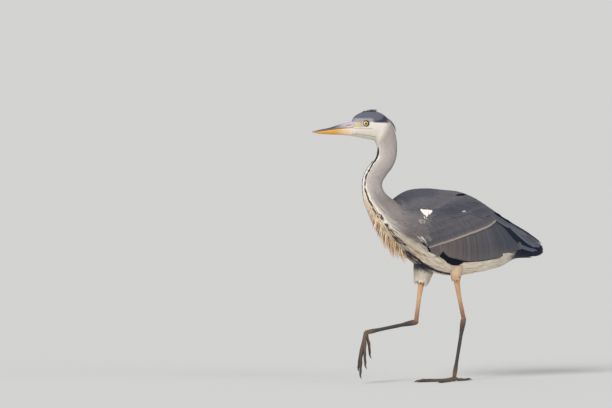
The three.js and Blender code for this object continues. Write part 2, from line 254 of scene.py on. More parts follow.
# %% [markdown]
# ## From arrays to meshes
#
# Each piece arrives as arrays of points and faces. One function puts them into a mesh, with a colour for
# each point and any UV maps, and makes the piece ride on the frame's one body.
# A closed tube of rings is the commonest shape: a leg, a toe, a claw, the whole body.

# %% Mesh builders
def face_corners(quads, tris):
    """All corners in a row, and where each face starts."""
    corners = np.concatenate([quads.ravel(), tris.ravel()]).astype(np.int32)
    starts = np.concatenate([np.arange(len(quads)) * 4, len(quads) * 4 + np.arange(len(tris)) * 3])
    return corners, starts.astype(np.int32)


def new_piece(name, points, quads, tris, tint, maps, material, stands_for=()):
    """Points in metres; tint is one linear colour per point; maps are UV maps, one value per corner."""
    mesh = bpy.data.meshes.new(name)
    corners, starts = face_corners(quads, tris)
    mesh.vertices.add(len(points))
    mesh.vertices.foreach_set("co", np.asarray(points, np.float32).ravel())
    mesh.loops.add(len(corners))
    mesh.loops.foreach_set("vertex_index", corners)
    mesh.polygons.add(len(starts))
    mesh.polygons.foreach_set("loop_start", starts)
    mesh.update(calc_edges=True)
    mesh.shade_smooth()
    colours = mesh.color_attributes.new(name="Tint", type="FLOAT_COLOR", domain="POINT")
    rgba = np.concatenate([np.clip(tint, 0, 1), np.ones((len(points), 1))], axis=1)
    colours.data.foreach_set("color", rgba.astype(np.float32).ravel())
    for map_name, values in maps.items():
        layer = mesh.uv_layers.new(name=map_name)
        layer.uv.foreach_set("vector", np.asarray(values, np.float32).ravel())
    mesh.materials.append(material)
    piece = bpy.data.objects.new(name, mesh)
    bpy.context.scene.collection.objects.link(piece)
    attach(piece, "root")
    if stands_for:
        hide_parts(*stands_for)
    return piece


# %% Tubes
def face_volume(points, quads):
    """A sum with the sign of the volume inside the quads: above zero when they face outwards."""
    a, b, c, d = (points[quads[:, corner]] for corner in range(4))
    return np.einsum("ij,ij->", a, np.cross(b, c)) + np.einsum("ij,ij->", a, np.cross(c, d))


def tube(rings):
    """Joins n rings of m points: quads between rings, and a fan of triangles to a middle point at each
    end. Also gives each corner's place on the unrolled tube: along it in 0..1, and round it in 0..1."""
    n, m = rings.shape[:2]
    points = np.concatenate([rings.reshape(-1, 3), rings[:1].mean(1), rings[-1:].mean(1)])
    i, j = (grid.ravel() for grid in grid_of(np.arange(n - 1), np.arange(m)))
    here, beside = i * m + j, i * m + (j + 1) % m
    quads = points_of(here, beside, beside + m, here + m)
    along = points_of(i, i, i + 1, i + 1) / (n - 1)
    around = points_of(j, j + 1, j + 1, j) / m
    k = np.arange(m)
    following = (k + 1) % m
    last = (n - 1) * m
    start_fan = points_of(n * m, following, k)
    end_fan = points_of(n * m + 1, last + k, last + following)
    tris = np.concatenate([start_fan, end_fan])
    fan_around = points_of((k + 0.5) / m, (k + 1) / m, k / m)
    fan_along = np.concatenate([np.zeros((m, 3)), np.ones((m, 3))])
    unrolled = np.concatenate([
        points_of(along, around).reshape(-1, 2),
        points_of(fan_along, np.concatenate([fan_around, fan_around[:, [0, 2, 1]]])).reshape(-1, 2),
    ])
    if face_volume(points, quads) < 0:
        split = len(quads) * 4
        turned_quads = unrolled[:split].reshape(-1, 4, 2)[:, ::-1].reshape(-1, 2)
        turned_tris = unrolled[split:].reshape(-1, 3, 2)[:, ::-1].reshape(-1, 2)
        return points, quads[:, ::-1], tris[:, ::-1], np.concatenate([turned_quads, turned_tris])
    return points, quads, tris, unrolled


def capped(rings, tint):
    """A tube with its colours, the end points coloured as their rings."""
    colours = np.concatenate([tint.reshape(-1, 3), tint[:1].mean(1), tint[-1:].mean(1)])
    return tube(rings) + (colours,)


def tube_piece(name, rings, tint, material, stands_for=()):
    """A closed tube as a piece of its own, with its unrolled map."""
    points, quads, tris, unrolled, colours = capped(rings, tint)
    new_piece(name, points * MM, quads, tris, colours, {"UVMap": unrolled}, material, stands_for)


def joined(parts):
    """Several (points, quads, tris, unrolled, tint) parts as one. Faces of one kind stay together."""
    shifts = np.cumsum([0] + [len(part[0]) for part in parts[:-1]])
    points = np.concatenate([part[0] for part in parts])
    quads = np.concatenate([part[1] + shift for part, shift in zip(parts, shifts)])
    tris = np.concatenate([part[2] + shift for part, shift in zip(parts, shifts)])
    quad_maps = [part[3][: len(part[1]) * 4] for part in parts]
    tri_maps = [part[3][len(part[1]) * 4 :] for part in parts]
    tint = np.concatenate([part[4] for part in parts])
    return points, quads, tris, np.concatenate(quad_maps + tri_maps), tint


print("mesh builders ready")

# %% [markdown]
# ## The coat's form
#
# The outline of the feathers is one surface from the bill to the tail. At each station we know a point
# on the back, a point on the throat or belly, and the half width. Between stations the curve is smooth.
# So a point of the coat has two parameters: t counts the stations, and the angle goes round the body,
# from 0 on the back over a quarter turn on the left flank to half a turn on the belly.

# %% Stations of the coat, in millimetres
STATIONS = np.array([
    # back x, z    front x, z   half width
    [-218, 632.6, -223, 597.2, 9],  # edge of the bill
    [-209, 645, -207, 595, 13.5],  # forehead
    [-192, 653, -190, 592, 17],  # brow
    [-172, 656, -173, 589, 19],  # crown over the eye
    [-149, 655, -158, 587, 20],  # rear crown
    [-130, 647, -151, 582, 20],  # nape
    [-114.5, 633, -147, 575, 19.5],  # nape bend
    [-102, 613, -145, 568, 19],  # top of the neck
    [-95, 589, -145, 560, 18.5],  # throat
    [-93.5, 561, -147, 551, 19],  # upper neck
    [-98, 538, -152, 541, 19.5],  # upper neck, lower end
    [-108, 519, -167, 528, 20],  # above the crook
    [-124, 502, -183, 504, 20.5],  # crook of the neck
    [-137, 482, -188, 482, 21],  # foremost neck
    [-131, 463, -186, 459, 23],  # lower neck
    [-115, 449, -180, 434, 27],  # neck base, upper
    [-101, 440, -166, 407, 34],  # neck base, lower
    [-93, 434, -149, 379, 44],  # hollow between neck and back
    [-84, 443.5, -126, 353, 55],  # fore edge of the mantle
    [-69, 457, -98, 329, 65],  # shoulders
    [-44, 467, -61, 305, 73],  # breast
    [-4, 469, -18, 277, 78],  # middle of the mantle
    [42, 465, 33, 260, 80],  # belly before the legs
    [84, 460, 85, 256, 78],  # belly at the legs
    [125, 445, 130, 261, 71],  # behind the legs
    [165, 423, 170, 267, 61],  # vent
    [205, 400, 210, 277, 50],  # tail base
    [245, 379, 247, 293, 41],  # tail
    [282, 360, 284, 295, 34],  # tail, middle
    [313, 341, 314, 295.5, 26],  # tail end
    [331, 323, 331, 301, 15],  # tail tip
])
LAST = len(STATIONS) - 1
FULLNESS = 1.12


def share_down(angle):
    """How far down the body an angle lies: ((1 - cos angle) / 2)^1.12, 0 on the back, 1 on the belly."""
    return ((1 - np.cos(angle)) / 2) ** FULLNESS


def coat(t, angle, depth=0.0):
    """A point of the coat, in millimetres: back + (front - back) share down in the plane of symmetry,
    and -half sin angle across. depth moves all three inwards."""
    t = np.asarray(t, float)
    back_x, back_z, front_x, front_z, half = (smooth(column, t) for column in STATIONS.T)
    down_x, down_z = front_x - back_x, front_z - back_z
    reach = np.hypot(down_x, down_z)
    travel = depth + (reach - 2 * depth) * share_down(angle)
    x = back_x + down_x / reach * travel
    z = back_z + down_z / reach * travel
    y = -np.maximum(half - depth, 1.0) * np.sin(angle)
    return points_of(x, y, z)


def tangents(surface, p, q):
    """Slopes of a surface along p and q by central differences, and its outward normal."""
    step = 1e-3
    along = (surface(p + step, q) - surface(p - step, q)) / (2 * step)
    around = (surface(p, q + step) - surface(p, q - step)) / (2 * step)
    return along, around, unit(np.cross(around, along))


FINE_T = np.linspace(0, LAST, 601)
FINE_MIDDLE = coat(FINE_T, np.full(len(FINE_T), np.pi / 2))
RUN = run_along(FINE_MIDDLE)
print("length of the coat along its side, mm:", round(RUN[-1]))

# %% [markdown]
# ## The markings
#
# Skin and feathers take their colour from one function of the place on the body. A grey heron has a
# white face with a dark stripe over each eye, a pale grey neck with a white front, a slate back, dark
# stripes beside a white belly, and paler flanks. Each marking is a soft mask laid over the last one.

# %% Colours by place
CHEEK = light(232, 224, 212)
THROAT = light(234, 226, 212)
CROWN = light(98, 100, 114)
STRIPE = light(50, 56, 76)
BROW = light(176, 171, 172)
NECK = light(170, 161, 157)
HIND_NECK = light(160, 152, 150)
FORE_NECK = light(232, 224, 212)
BUFF = light(222, 190, 146)
MANTLE = light(74, 74, 84)
SHOULDER = light(112, 105, 106)
BREAST = light(190, 178, 164)
LOW_NECK = light(132, 124, 121)
LORES_GREY = light(180, 174, 170)
LORES_YELLOW = light(208, 190, 140)
FLANK = light(236, 221, 200)
BELLY_STRIPE = light(30, 38, 58)
BELLY = light(240, 222, 200)
VENT = light(232, 221, 202)
TAIL = light(50, 58, 76)
UNDER_TAIL = light(26, 33, 52)


def head_tint(t, x, z):
    """White cheeks, grey crown, and a dark stripe that widens from above the eye to the nape."""
    fold = z - np.interp(x, [-222, -200, -176, -160], [602.5, 600.5, 597.5, 594.5])
    cap_edge = np.interp(x, [-222, -196, -176, -165, -140, -120], [630.5, 630.5, 631.5, 628.8, 628.8, 632])
    stripe_top = np.interp(x, [-172, -158, -146, -136, -124], [630, 633, 637, 646, 652])
    stripe = soft(628.4, 630.6, z) * soft(stripe_top + 4.0, stripe_top - 2.0, z)
    lores = soft(617, 620.5, z) * soft(631.5, 629.5, z) * soft(-194, -199, x)
    yellow = soft(-219, -213, x) * soft(-199, -204, x)
    return layered(
        filled(CHEEK, t),
        (THROAT, soft(606, 600, z)),
        # Painted shade: a brownish line along the fold under the jaw.
        (light(160, 130, 100), 0.45 * band(-0.7, 0.7, 1.2, fold) * band(-218, -164, 6, x)),
        (light(146, 120, 96), 0.4 * band(614.6, 615.8, 1.2, z) * band(-222, -176, 8, x)),
        (CROWN, soft(cap_edge - 1.2, cap_edge + 2.6, z) * (1 - soft(5.4, 6.2, t))),
        (light(88, 92, 104), 0.5 * soft(-196, -206, x) * soft(638, 644, z)),
        (BROW, 0.7 * band(631.5, 637.5, 4.0, z) * band(-212, -176, 9, x)),
        (STRIPE, stripe * soft(-174, -160, x) * (1 - soft(-125, -119, x))),
        (over(LORES_GREY, LORES_YELLOW, yellow), lores),
    )


def neck_tint(t, down):
    """Pale grey, a little darker behind and white down the front, warmer towards the breast."""
    white_from = np.interp(t, [6, 9, 12.5, 14, 15.5, 18, 19], [0.94, 0.95, 0.94, 0.86, 0.79, 0.78, 0.84])
    front = over(filled(FORE_NECK, t), light(206, 197, 187), soft(9.5, 8.0, t))
    return layered(
        filled(NECK, t),
        (HIND_NECK, soft(0.3, 0.08, down) * soft(7, 9, t)),
        (LOW_NECK, soft(13.0, 15.0, t)),
        (light(188, 180, 173), 0.7 * soft(white_from - 0.22, white_from - 0.04, down)),
        (front, soft(white_from - 0.04, white_from + 0.05, down)),
        (BUFF, 0.65 * soft(12.5, 15.5, t) * soft(0.86, 0.95, down)),
    )


def body_tint(t, down):
    """Slate back, mottled shoulders, pale flanks, dark stripes beside a white belly and a white vent.
    Painted shade keeps the front of the belly dark and darkens the underside of the tail.
    """
    ridge = np.interp(t, [18, 20.3, 21.1, 22.2], [0.18, 0.19, 0.11, 0.03])
    lit = band(ridge - 0.04, ridge + 0.03, 0.08, down) * band(18, 22.2, 0.9, t)
    pale_from = np.interp(t, [17, 18.5, 19.5, 20.5, 21.5, 30], [0.79, 0.79, 0.80, 0.76, 0.60, 0.56])
    stripe_from = np.interp(t, [19.2, 20.4, 21.5, 22.6], [0.952, 0.966, 0.972, 0.982])
    stripe = soft(stripe_from - 0.006, stripe_from + 0.006, down)
    low = soft(0.5, 0.66, down)
    return layered(
        filled(MANTLE, t),
        (SHOULDER, soft(0.24, 0.42, down) * soft(21.5, 19, t)),
        (light(104, 99, 102), 0.55 * lit),
        (FLANK, soft(pale_from - 0.02, pale_from + 0.1, down)),
        (BREAST, soft(pale_from, pale_from + 0.12, down) * soft(20.4, 18.8, t)),
        (BELLY_STRIPE, stripe * band(19.5, 22.6, 0.5, t)),
        # Painted shade: the white belly starts only behind station 21, so the dark stripe runs on over its
        # front.
        (BELLY, soft(0.99, 0.996, down) * soft(21.0, 21.6, t)),
        (VENT, soft(22.8, 24.2, t) * low),
        (light(186, 179, 168), 0.6 * soft(24.4, 25.8, t) * low),
        (TAIL, soft(25.6, 27.0, t) * soft(0.7, 0.5, down)),
        # Dark navy over the end of the tail; on its underside, behind the white vent, it is painted shade.
        (UNDER_TAIL, soft(26.2, 26.9, t + 0.5 * soft(0.98, 0.9, down))),
    )


def coat_tint(t, angle):
    """The colour of the coat at a place: head, neck or body, blended where they meet. A darker line of
    painted shade marks the fold where the neck rises from the breast."""
    t = np.asarray(t, float)
    down = share_down(angle)
    place = coat(t, angle)
    x, z = place[..., 0], place[..., 2]
    fold = np.interp(t, [14.3, 15.3, 16.1, 16.8, 17.6], [0.74, 0.74, 0.69, 0.62, 0.58])
    return layered(
        head_tint(t, x, z),
        (neck_tint(t, down), soft(4.6, 6.2, t + 0.8 * (down - 0.5))),
        (body_tint(t, down), soft(16.4, 18.6, t + 1.5 * (0.5 - down))),
        # Painted shade: a darker line in the fold where the neck rises from the breast.
        (light(104, 95, 92), 0.55 * band(-0.005, 0.005, 0.022, down - fold) * band(14.6, 17.5, 0.5, t)),
    )


print("cheek, linear:", np.round(coat_tint(np.array([3.0]), np.array([1.9])), 2))

# %% [markdown]
# ## Materials
#
# Feathers, bare skin, horn and the wet eye each get their own shader. The colour comes from the point
# colours that the numpy functions made. On a feather, fine barbs slant away from the shaft: a sine of
# the distance along the shaft plus part of the distance from it, used as colour and as bump.

# %% Material helpers
def bare_material(name, roughness, coat_weight=0.0, sheen=0.0):
    """A shader that reads the piece's point colours. Sheen and clear coat are set on its sockets."""
    material = bpy.data.materials.new(name)
    material.use_nodes = True
    shader = material.node_tree.nodes["Principled BSDF"]
    shader.inputs["Roughness"].default_value = roughness
    shader.inputs["Coat Weight"].default_value = coat_weight
    shader.inputs["Coat Roughness"].default_value = 0.05
    shader.inputs["Sheen Weight"].default_value = sheen
    shader.inputs["Sheen Roughness"].default_value = 0.5
    return material, shader, add_node(material.node_tree, "Attribute", attribute_name="Tint")


def scaled(tree, colour, factor):
    """A colour times a number."""
    return add_node(tree, "VectorMath", {0: colour, "Scale": factor}, operation="SCALE").outputs[0]


def mottled(tree, tint, scale, low, high):
    """Multiplies the point colour by a soft noise between low and high. Returns the colour, the object's
    coordinates and the noise node."""
    where = add_node(tree, "TexCoord").outputs["Object"]
    noise = add_node(tree, "TexNoise", {"Vector": where, "Scale": scale, "Detail": 4.0})
    spread = add_node(tree, "MapRange", {"Value": noise.outputs["Fac"], "To Min": low, "To Max": high})
    return scaled(tree, tint.outputs["Color"], spread.outputs["Result"]), where, noise


def math_of(tree, operation, *values):
    """One Math node; each input is a number or another node's output."""
    return add_node(tree, "Math", dict(enumerate(values)), operation=operation).outputs[0]


def finish(tree, shader, colour, height, strength, distance):
    """Gives a shader its colour, and raises its surface by a height between 0 and 1 times distance in
    metres."""
    tree.links.new(colour, shader.inputs["Base Color"])
    bump = add_node(tree, "Bump", {"Strength": strength, "Distance": distance, "Height": height})
    tree.links.new(bump.outputs["Normal"], shader.inputs["Normal"])


print("materials before the first:", len(bpy.data.materials))

# %% Feather material
BARB_WIDTH_CM = 0.055
BARB_SLANT = 1.1


def feather_material(name, roughness, sheen, specular):
    """Point colour times a mottle and a barb pattern; the Vane map holds centimetres along and across."""
    material, shader, tint = bare_material(name, roughness, sheen=sheen)
    shader.inputs["Specular IOR Level"].default_value = specular
    tree = material.node_tree
    colour, _, _ = mottled(tree, tint, 260.0, 0.86, 1.1)
    vane = add_node(tree, "UVMap", uv_map="Vane")
    parts = add_node(tree, "SeparateXYZ", {0: vane.outputs["UV"]})
    from_shaft = math_of(tree, "ABSOLUTE", parts.outputs["Y"])
    slanted = math_of(tree, "MULTIPLY", from_shaft, -BARB_SLANT)
    run = math_of(tree, "ADD", parts.outputs["X"], slanted)
    wave = math_of(tree, "SINE", math_of(tree, "MULTIPLY", run, TURN / BARB_WIDTH_CM))
    barbs = math_of(tree, "MULTIPLY_ADD", wave, 0.5, 0.5)
    shade = math_of(tree, "MULTIPLY_ADD", wave, 0.05, 1.0)
    finish(tree, shader, scaled(tree, colour, shade), barbs, 0.35, 0.0002)
    return material


COVERT_FINISH = feather_material("soft feathers", 0.72, 0.05, 0.2)
FLIGHT_FINISH = feather_material("flight feathers", 0.6, 0.015, 0.12)
MARK_FINISH = feather_material("marks", 0.75, 0.0, 0.08)
print("feather materials:", COVERT_FINISH.name + ",", FLIGHT_FINISH.name, "and", MARK_FINISH.name)

# %% Skin, horn and eye materials
def scaly_material(name, roughness, scale, strength, low, high):
    """Small net-like scales: the distance to the edge of Voronoi cells, as bump."""
    material, shader, tint = bare_material(name, roughness)
    tree = material.node_tree
    colour, where, _ = mottled(tree, tint, 90.0, low, high)
    cells = add_node(tree, "TexVoronoi", {"Scale": scale, "Vector": where}, feature="DISTANCE_TO_EDGE")
    edge = math_of(tree, "MULTIPLY", cells.outputs["Distance"], 4.0)
    finish(tree, shader, colour, math_of(tree, "MINIMUM", edge, 1.0), strength, 0.0004)
    return material


def horn_material(name, roughness):
    """Horn with faint growth streaks along X, from a noise stretched along the bill."""
    material, shader, tint = bare_material(name, roughness, coat_weight=0.25)
    tree = material.node_tree
    colour, where, noise = mottled(tree, tint, 1.0, 0.85, 1.12)
    stretch = add_node(tree, "Mapping", {"Scale": (40.0, 420.0, 420.0), "Vector": where})
    tree.links.new(stretch.outputs["Vector"], noise.inputs["Vector"])
    finish(tree, shader, colour, noise.outputs["Fac"], 0.25, 0.0003)
    return material


SKIN_FINISH = scaly_material("bare skin", 0.6, 900.0, 0.3, 0.9, 1.08)
LEG_FINISH = scaly_material("leg scales", 0.5, 520.0, 0.8, 0.78, 1.15)
BILL_FINISH = horn_material("bill horn", 0.34)
CLAW_FINISH = horn_material("claw horn", 0.4)
EYE_FINISH, eye_shader, eye_colour = bare_material("wet eye", 0.12, coat_weight=1.0)
EYE_FINISH.node_tree.links.new(eye_colour.outputs["Color"], eye_shader.inputs["Base Color"])
print("materials so far:", len(bpy.data.materials))

# %% [markdown]
# ## Skin
#
# Under the feathers lies one skin from the bill to the tail, with the thighs joined to it. It sinks
# below the coat by the feathers' depth: about a millimetre on the bare lores, and up to eight on the
# body. Where the feathers part for a moment, the skin shows nearly the same colour as they do.

# %% How deep the skin lies
EYE_CENTRE = np.array([-188.5, -11.2, 627.0])
EYE_RIM = EYE_CENTRE - np.array([1.5, 0.0, 0.0])
SOCKET_DEPTH = 4.0


def off_eye(points):
    """How far points lie from the middle of the lids, seen from the side."""
    return np.hypot(points[..., 0] - EYE_RIM[0], points[..., 2] - EYE_RIM[2])


def skin_depth(t, angle):
    """The coat's depth in millimetres: thin at the bill, thicker down the neck, thickest on the body,
    and 4 mm more in the socket of each eye."""
    depth = np.interp(t, [0, 2.2, 4, 8, 14, 18, 25, 28, 30], [0.5, 1.1, 2.0, 3.4, 4.2, 7.0, 7.5, 5.0, 3.5])
    surface = coat(t, angle)
    in_socket = soft(10.2, 7.6, off_eye(surface)) * soft(6.0, 9.0, np.abs(surface[..., 1]))
    return depth + SOCKET_DEPTH * in_socket


SKIN_ROWS = 420
SKIN_COLUMNS = 112
print("skin depth at the bill, neck and body:", np.round(skin_depth(np.array([0, 8, 22]), 0), 2))


# %% [markdown]
# ## Where things lie
#
# Two questions come up again and again. Where on the coat is a point that we know from the side view?
# And where would a feather of a given length end, if it starts here and lies that way?
# The first is solved with Newton's method, the second by walking over the surface in short steps.

# %% Find a place
def side_plane(t, share):
    """The point of the symmetry plane at a share of the way from the back line to the front line."""
    back_x, back_z, front_x, front_z, _ = (smooth(column, t) for column in STATIONS.T)
    return points_of(back_x + (front_x - back_x) * share, back_z + (front_z - back_z) * share)


def side_spot(x, z, t_from, t_to):
    """Station and angle on the left side of the point that shows at (x, z): the nearest of a grid of
    places between two stations, made exact by Newton steps."""
    goal = np.stack([np.ravel(x), np.ravel(z)], axis=-1).astype(float)
    grid_t, grid_share = grid_of(np.linspace(t_from, t_to, 121), np.linspace(0, 1, 31))
    grid = side_plane(grid_t.ravel(), grid_share.ravel())
    nearest = np.argmin(((goal[:, None] - grid[None]) ** 2).sum(-1), axis=1)
    t, share = grid_t.ravel()[nearest], grid_share.ravel()[nearest]
    for _ in range(8):
        miss = goal - side_plane(t, share)
        by_t = (side_plane(t + 1e-3, share) - side_plane(t - 1e-3, share)) / 2e-3
        by_share = side_plane(t, share + 0.5) - side_plane(t, share - 0.5)
        area = by_t[:, 0] * by_share[:, 1] - by_t[:, 1] * by_share[:, 0]
        area = np.where(np.abs(area) < 1e-6, 1e-6, area)
        t = t + (miss[:, 0] * by_share[:, 1] - miss[:, 1] * by_share[:, 0]) / area
        share = share + (by_t[:, 0] * miss[:, 1] - by_t[:, 1] * miss[:, 0]) / area
        t = np.clip(t, t_from, t_to)
        share = np.clip(share, 0.0005, 0.9995)
    angle = np.arccos(1 - 2 * share ** (1 / FULLNESS))
    return t.reshape(np.shape(x)), angle.reshape(np.shape(x))


spot = side_spot(np.array([50.0]), np.array([360.0]), 17, 30)
print("side place of (50, 360):", np.round(spot, 2).ravel(), "back again:", np.round(coat(*spot), 1))

# %% Walk over a surface
def surface_step(along, around, way):
    """How far the two parameters move for one millimetre along way, which lies in the surface."""
    e = (along * along).sum(-1)
    f = (along * around).sum(-1)
    g = (around * around).sum(-1)
    p = (way * along).sum(-1)
    q = (way * around).sum(-1)
    area = e * g - f * f
    return (p * g - q * f) / area, (q * e - p * f) / area


def shares(steps, crowd=1.6):
    """Shares of a feather's length where its sections lie, 1 - (1 - s) ** crowd: close at the tip."""
    return 1 - (1 - np.linspace(0, 1, steps + 1)) ** crowd


def walk(surface, t, angle, length, steps, lean=0.0, end=LAST):
    """Steps over a surface from a root, along the body but leaning by an angle towards the belly."""
    path_t, path_angle = [t], [angle]
    for part in np.diff(shares(steps)):
        stride = length * part
        along, around, normal = tangents(surface, t, angle)
        forward = unit(along)
        sideways = unit(np.cross(forward, normal))
        turn = np.broadcast_to(lean, t.shape)[:, None] * -np.sign(np.sin(angle))[:, None]
        way = forward * np.cos(turn) + sideways * np.sin(turn)
        by_t, by_angle = surface_step(along, around, way)
        t = np.clip(t + stride * by_t, 0, end)
        angle = angle + stride * by_angle
        path_t.append(t)
        path_angle.append(angle)
    return np.stack(path_t, axis=1), np.stack(path_angle, axis=1)


def scatter(surface, t_range, angle_range, spacing, across, rng):
    """Roots in staggered rows: spacing millimetres from row to row and across millimetres in a row."""
    fine_t = np.linspace(*t_range, 200)
    fine_angle = np.linspace(*angle_range, 181)
    middle = surface(fine_t, np.full(len(fine_t), np.pi / 2))
    run = run_along(middle)
    count = max(2, int(round(run[-1] / spacing)))
    row_t = np.interp((np.arange(count) + 0.5) / count * run[-1], run, fine_t)
    all_t, all_angle = [], []
    for i, t in enumerate(row_t):
        girth = run_along(surface(np.full(len(fine_angle), t), fine_angle))
        number = max(3, int(round(girth[-1] / across)))
        at = (np.arange(number) + 0.25 + 0.5 * (i % 2) + rng.uniform(-0.22, 0.22, number)) / number
        all_angle.append(np.interp(at * girth[-1], girth, fine_angle))
        slack = (t_range[1] - t_range[0]) / count * 0.25
        all_t.append(np.clip(t + rng.uniform(-slack, slack, number), t_range[0], t_range[1]))
    return np.concatenate(all_t), np.concatenate(all_angle)


print("shares of a feather with six sections:", np.round(shares(6), 2))

# %% [markdown]
# ## Limbs
#
# A limb is a round tube along a smooth path. Its radius changes from knee to toe, and a relief may be
# added to the radius: overlapping scutes down the front of the shank and along the top of each toe,
# and soft pads under the joints of the toes. On the real bird these are plates and grains of horn.

# %% Limb tubes
ACROSS = np.array([0.0, 1.0, 0.0])
FLOOR_GAP = 0.05


def curve_through(points, count):
    """Points at equal steps along the centripetal Catmull-Rom curve through the given points."""
    p = np.array(points, float)
    p = np.concatenate([2 * p[:1] - p[1:2], p, 2 * p[-1:] - p[-2:-1]])
    knot = np.linalg.norm(np.diff(p, axis=0), axis=1, keepdims=True) ** 0.5
    slope = (p[1:-1] - p[:-2]) / knot[:-1] + (p[2:] - p[1:-1]) / knot[1:]
    slope = slope - (p[2:] - p[:-2]) / (knot[:-1] + knot[1:])
    u = np.linspace(0, 1, 40, endpoint=False)[None, :, None]
    a, b, step = p[1:-2, None], p[2:-1, None], knot[1:-1, None]
    m, n = slope[:-1, None] * step, slope[1:, None] * step
    dense = (2 * u**3 - 3 * u**2 + 1) * a + (u**3 - 2 * u**2 + u) * m
    dense = dense + (3 * u**2 - 2 * u**3) * b + (u**3 - u**2) * n
    dense = np.concatenate([dense.reshape(-1, 3), p[-2:-1]])
    run = run_along(dense)
    even = np.linspace(0, run[-1], count)
    return np.stack([np.interp(even, run, dense[:, axis]) for axis in range(3)], axis=1), run[-1]


def above_floor(points):
    """The same points, with those below the floor raised just onto it."""
    return np.maximum(points, [-np.inf, -np.inf, FLOOR_GAP])


def limb(path, radii, count, sides, flat=0.86, relief=None):
    """Rings round a path: centre + radius (flat cos(angle) side + sin(angle) front). Angle -90 degrees
    is the front of a leg and the top of a toe. relief(millimetres along, angle, radius) adds to radius."""
    centre, length = curve_through(path, count)
    along = unit(np.gradient(centre, axis=0))
    side = unit(ACROSS - along * (along @ ACROSS)[:, None])
    front = np.cross(along, side)
    radius = smooth(radii, np.linspace(0, len(radii) - 1, count))[:, None]
    angle = np.linspace(0, TURN, sides, endpoint=False)[None, :]
    if relief is not None:
        radius = radius + relief(np.linspace(0, length, count)[:, None], angle, radius)
    radius = np.broadcast_to(radius, (count, sides))[..., None]
    angle = np.broadcast_to(angle, (count, sides))[..., None]
    outwards = flat * np.cos(angle) * side[:, None] + np.sin(angle) * front[:, None]
    return centre[:, None] + radius * outwards


def towards(a, b, reach):
    """The point reach millimetres from a towards b."""
    a, b = np.array(a, float), np.array(b, float)
    return a + (b - a) * reach / np.linalg.norm(b - a)


LEGS = {
    "left": {"hip": [64, -26, 312], "end": [58, -33, 249], "ankle": [88, -22, 152], "toes": [70, -8, 10]},
    "right": {"hip": [20, 34, 315], "end": [-1, 30, 242], "ankle": [-21, 22, 145], "toes": [-164, 24, 123]},
}
THIGH_RADII = {"left": [22, 16, 10.5], "right": [28, 25, 18]}


def thigh_surface(side):
    """The feathered thigh as a surface of t, from 0 at the hip to 1 at its lower end, and an angle."""
    leg = LEGS[side]
    start, stop = np.array(leg["hip"], float), np.array(leg["end"], float)
    along = unit(stop - start)
    across = unit(ACROSS - along * (along @ ACROSS))
    front = np.cross(along, across)

    def surface(t, angle, depth=0.0):
        t = np.asarray(t, float)
        radius = np.maximum(smooth(THIGH_RADII[side], 2 * t) - depth, 1.0)[..., None]
        centre = start + (stop - start) * t[..., None]
        round_it = np.cos(angle)[..., None] * across - np.sin(angle)[..., None] * front
        return centre + radius * round_it

    return surface


for side, leg in LEGS.items():
    print(side, "shank, mm:", round(float(np.linalg.norm(np.subtract(leg["ankle"], leg["toes"])))))

# %% [markdown]
# ## The skin mesh
#
# The body's rings and the thighs' rings become one closed-skinned piece. Its unwrap, OFBake, is the
# body unrolled along its length and girth, with a strip beside it for each thigh. Every feather will
# later take a tiny patch of this same unwrap at its root, so that skin and coat share one colour map.

# %% Build the skin
UNWRAP = {"body": (0.01, 0.78), "left": (0.80, 0.89), "right": (0.90, 0.99)}


def unwrap_place(region, along, around):
    """A place on the unwrap: around (0..1) across the region's strip, along (0..1) up it."""
    low, high = UNWRAP[region]
    return points_of(low + (high - low) * around, 0.01 + 0.98 * along)


THIGH_TOP = light(216, 174, 126)
THIGH_PALE = light(226, 214, 198)


def thigh_tint(side, t, angle):
    """White fluff on the far thigh, with painted shade in dark slate higher up on its inner side (angle pi);
    the near one browner, orange-brown at the hem."""
    brown, hem, shade = (0.5, 0.8, 0.0) if side == "left" else (0.0, 0.1, 0.9)
    inner = soft(0.6, 1.2, angle % TURN) * soft(4.9, 4.2, angle % TURN)
    return layered(
        filled(THIGH_PALE, t),
        (THIGH_TOP, np.full(t.shape, brown)),
        # Painted shade: dark slate over the far thigh's upper inner side.
        (light(62, 68, 90), shade * soft(0.81, 0.69, t) * inner),
        (light(196, 152, 112), soft(0.8, 1.05, t) * hem),
    )


SKIN_END = 29.35
SKIN_SHADE = 0.9
THIGH_SKIN_SHADE = 0.85
skin_t, skin_angle = grid_of(
    np.interp(np.linspace(0, RUN[-1], SKIN_ROWS), RUN, FINE_T) * SKIN_END / LAST,
    np.linspace(0, TURN, SKIN_COLUMNS, endpoint=False),
)
skin_rings = coat(skin_t, skin_angle, skin_depth(skin_t, skin_angle))
body = tube(skin_rings)
body_colours = coat_tint(skin_t, skin_angle).reshape(-1, 3) * SKIN_SHADE
ends = np.stack([body_colours[:SKIN_COLUMNS].mean(0), body_colours[-SKIN_COLUMNS:].mean(0)])
skin_parts = [body[:3] + (unwrap_place("body", *body[3].T), np.concatenate([body_colours, ends]))]
for side in ("left", "right"):
    surface = thigh_surface(side)
    leg_t, leg_angle = grid_of(np.linspace(0, 1, 30), np.linspace(0, TURN, 40, endpoint=False))
    part = tube(surface(leg_t, leg_angle, 3.0 + 1.0 * leg_t))
    colours = thigh_tint(side, leg_t, leg_angle).reshape(-1, 3) * THIGH_SKIN_SHADE
    colours = np.concatenate([colours, colours[:1], colours[-1:]])
    skin_parts.append(part[:3] + (unwrap_place(side, *part[3].T), colours))
skin_points, skin_quads, skin_tris, skin_map, skin_colours = joined(skin_parts)
new_piece(
    "skin", skin_points * MM, skin_quads, skin_tris, skin_colours, {"OFBake": skin_map}, SKIN_FINISH,
    ["head", "neck_upper", "neck_lower", "trunk", "tail", "thigh_left", "thigh_right"],
)
print("skin:", len(skin_points), "points")

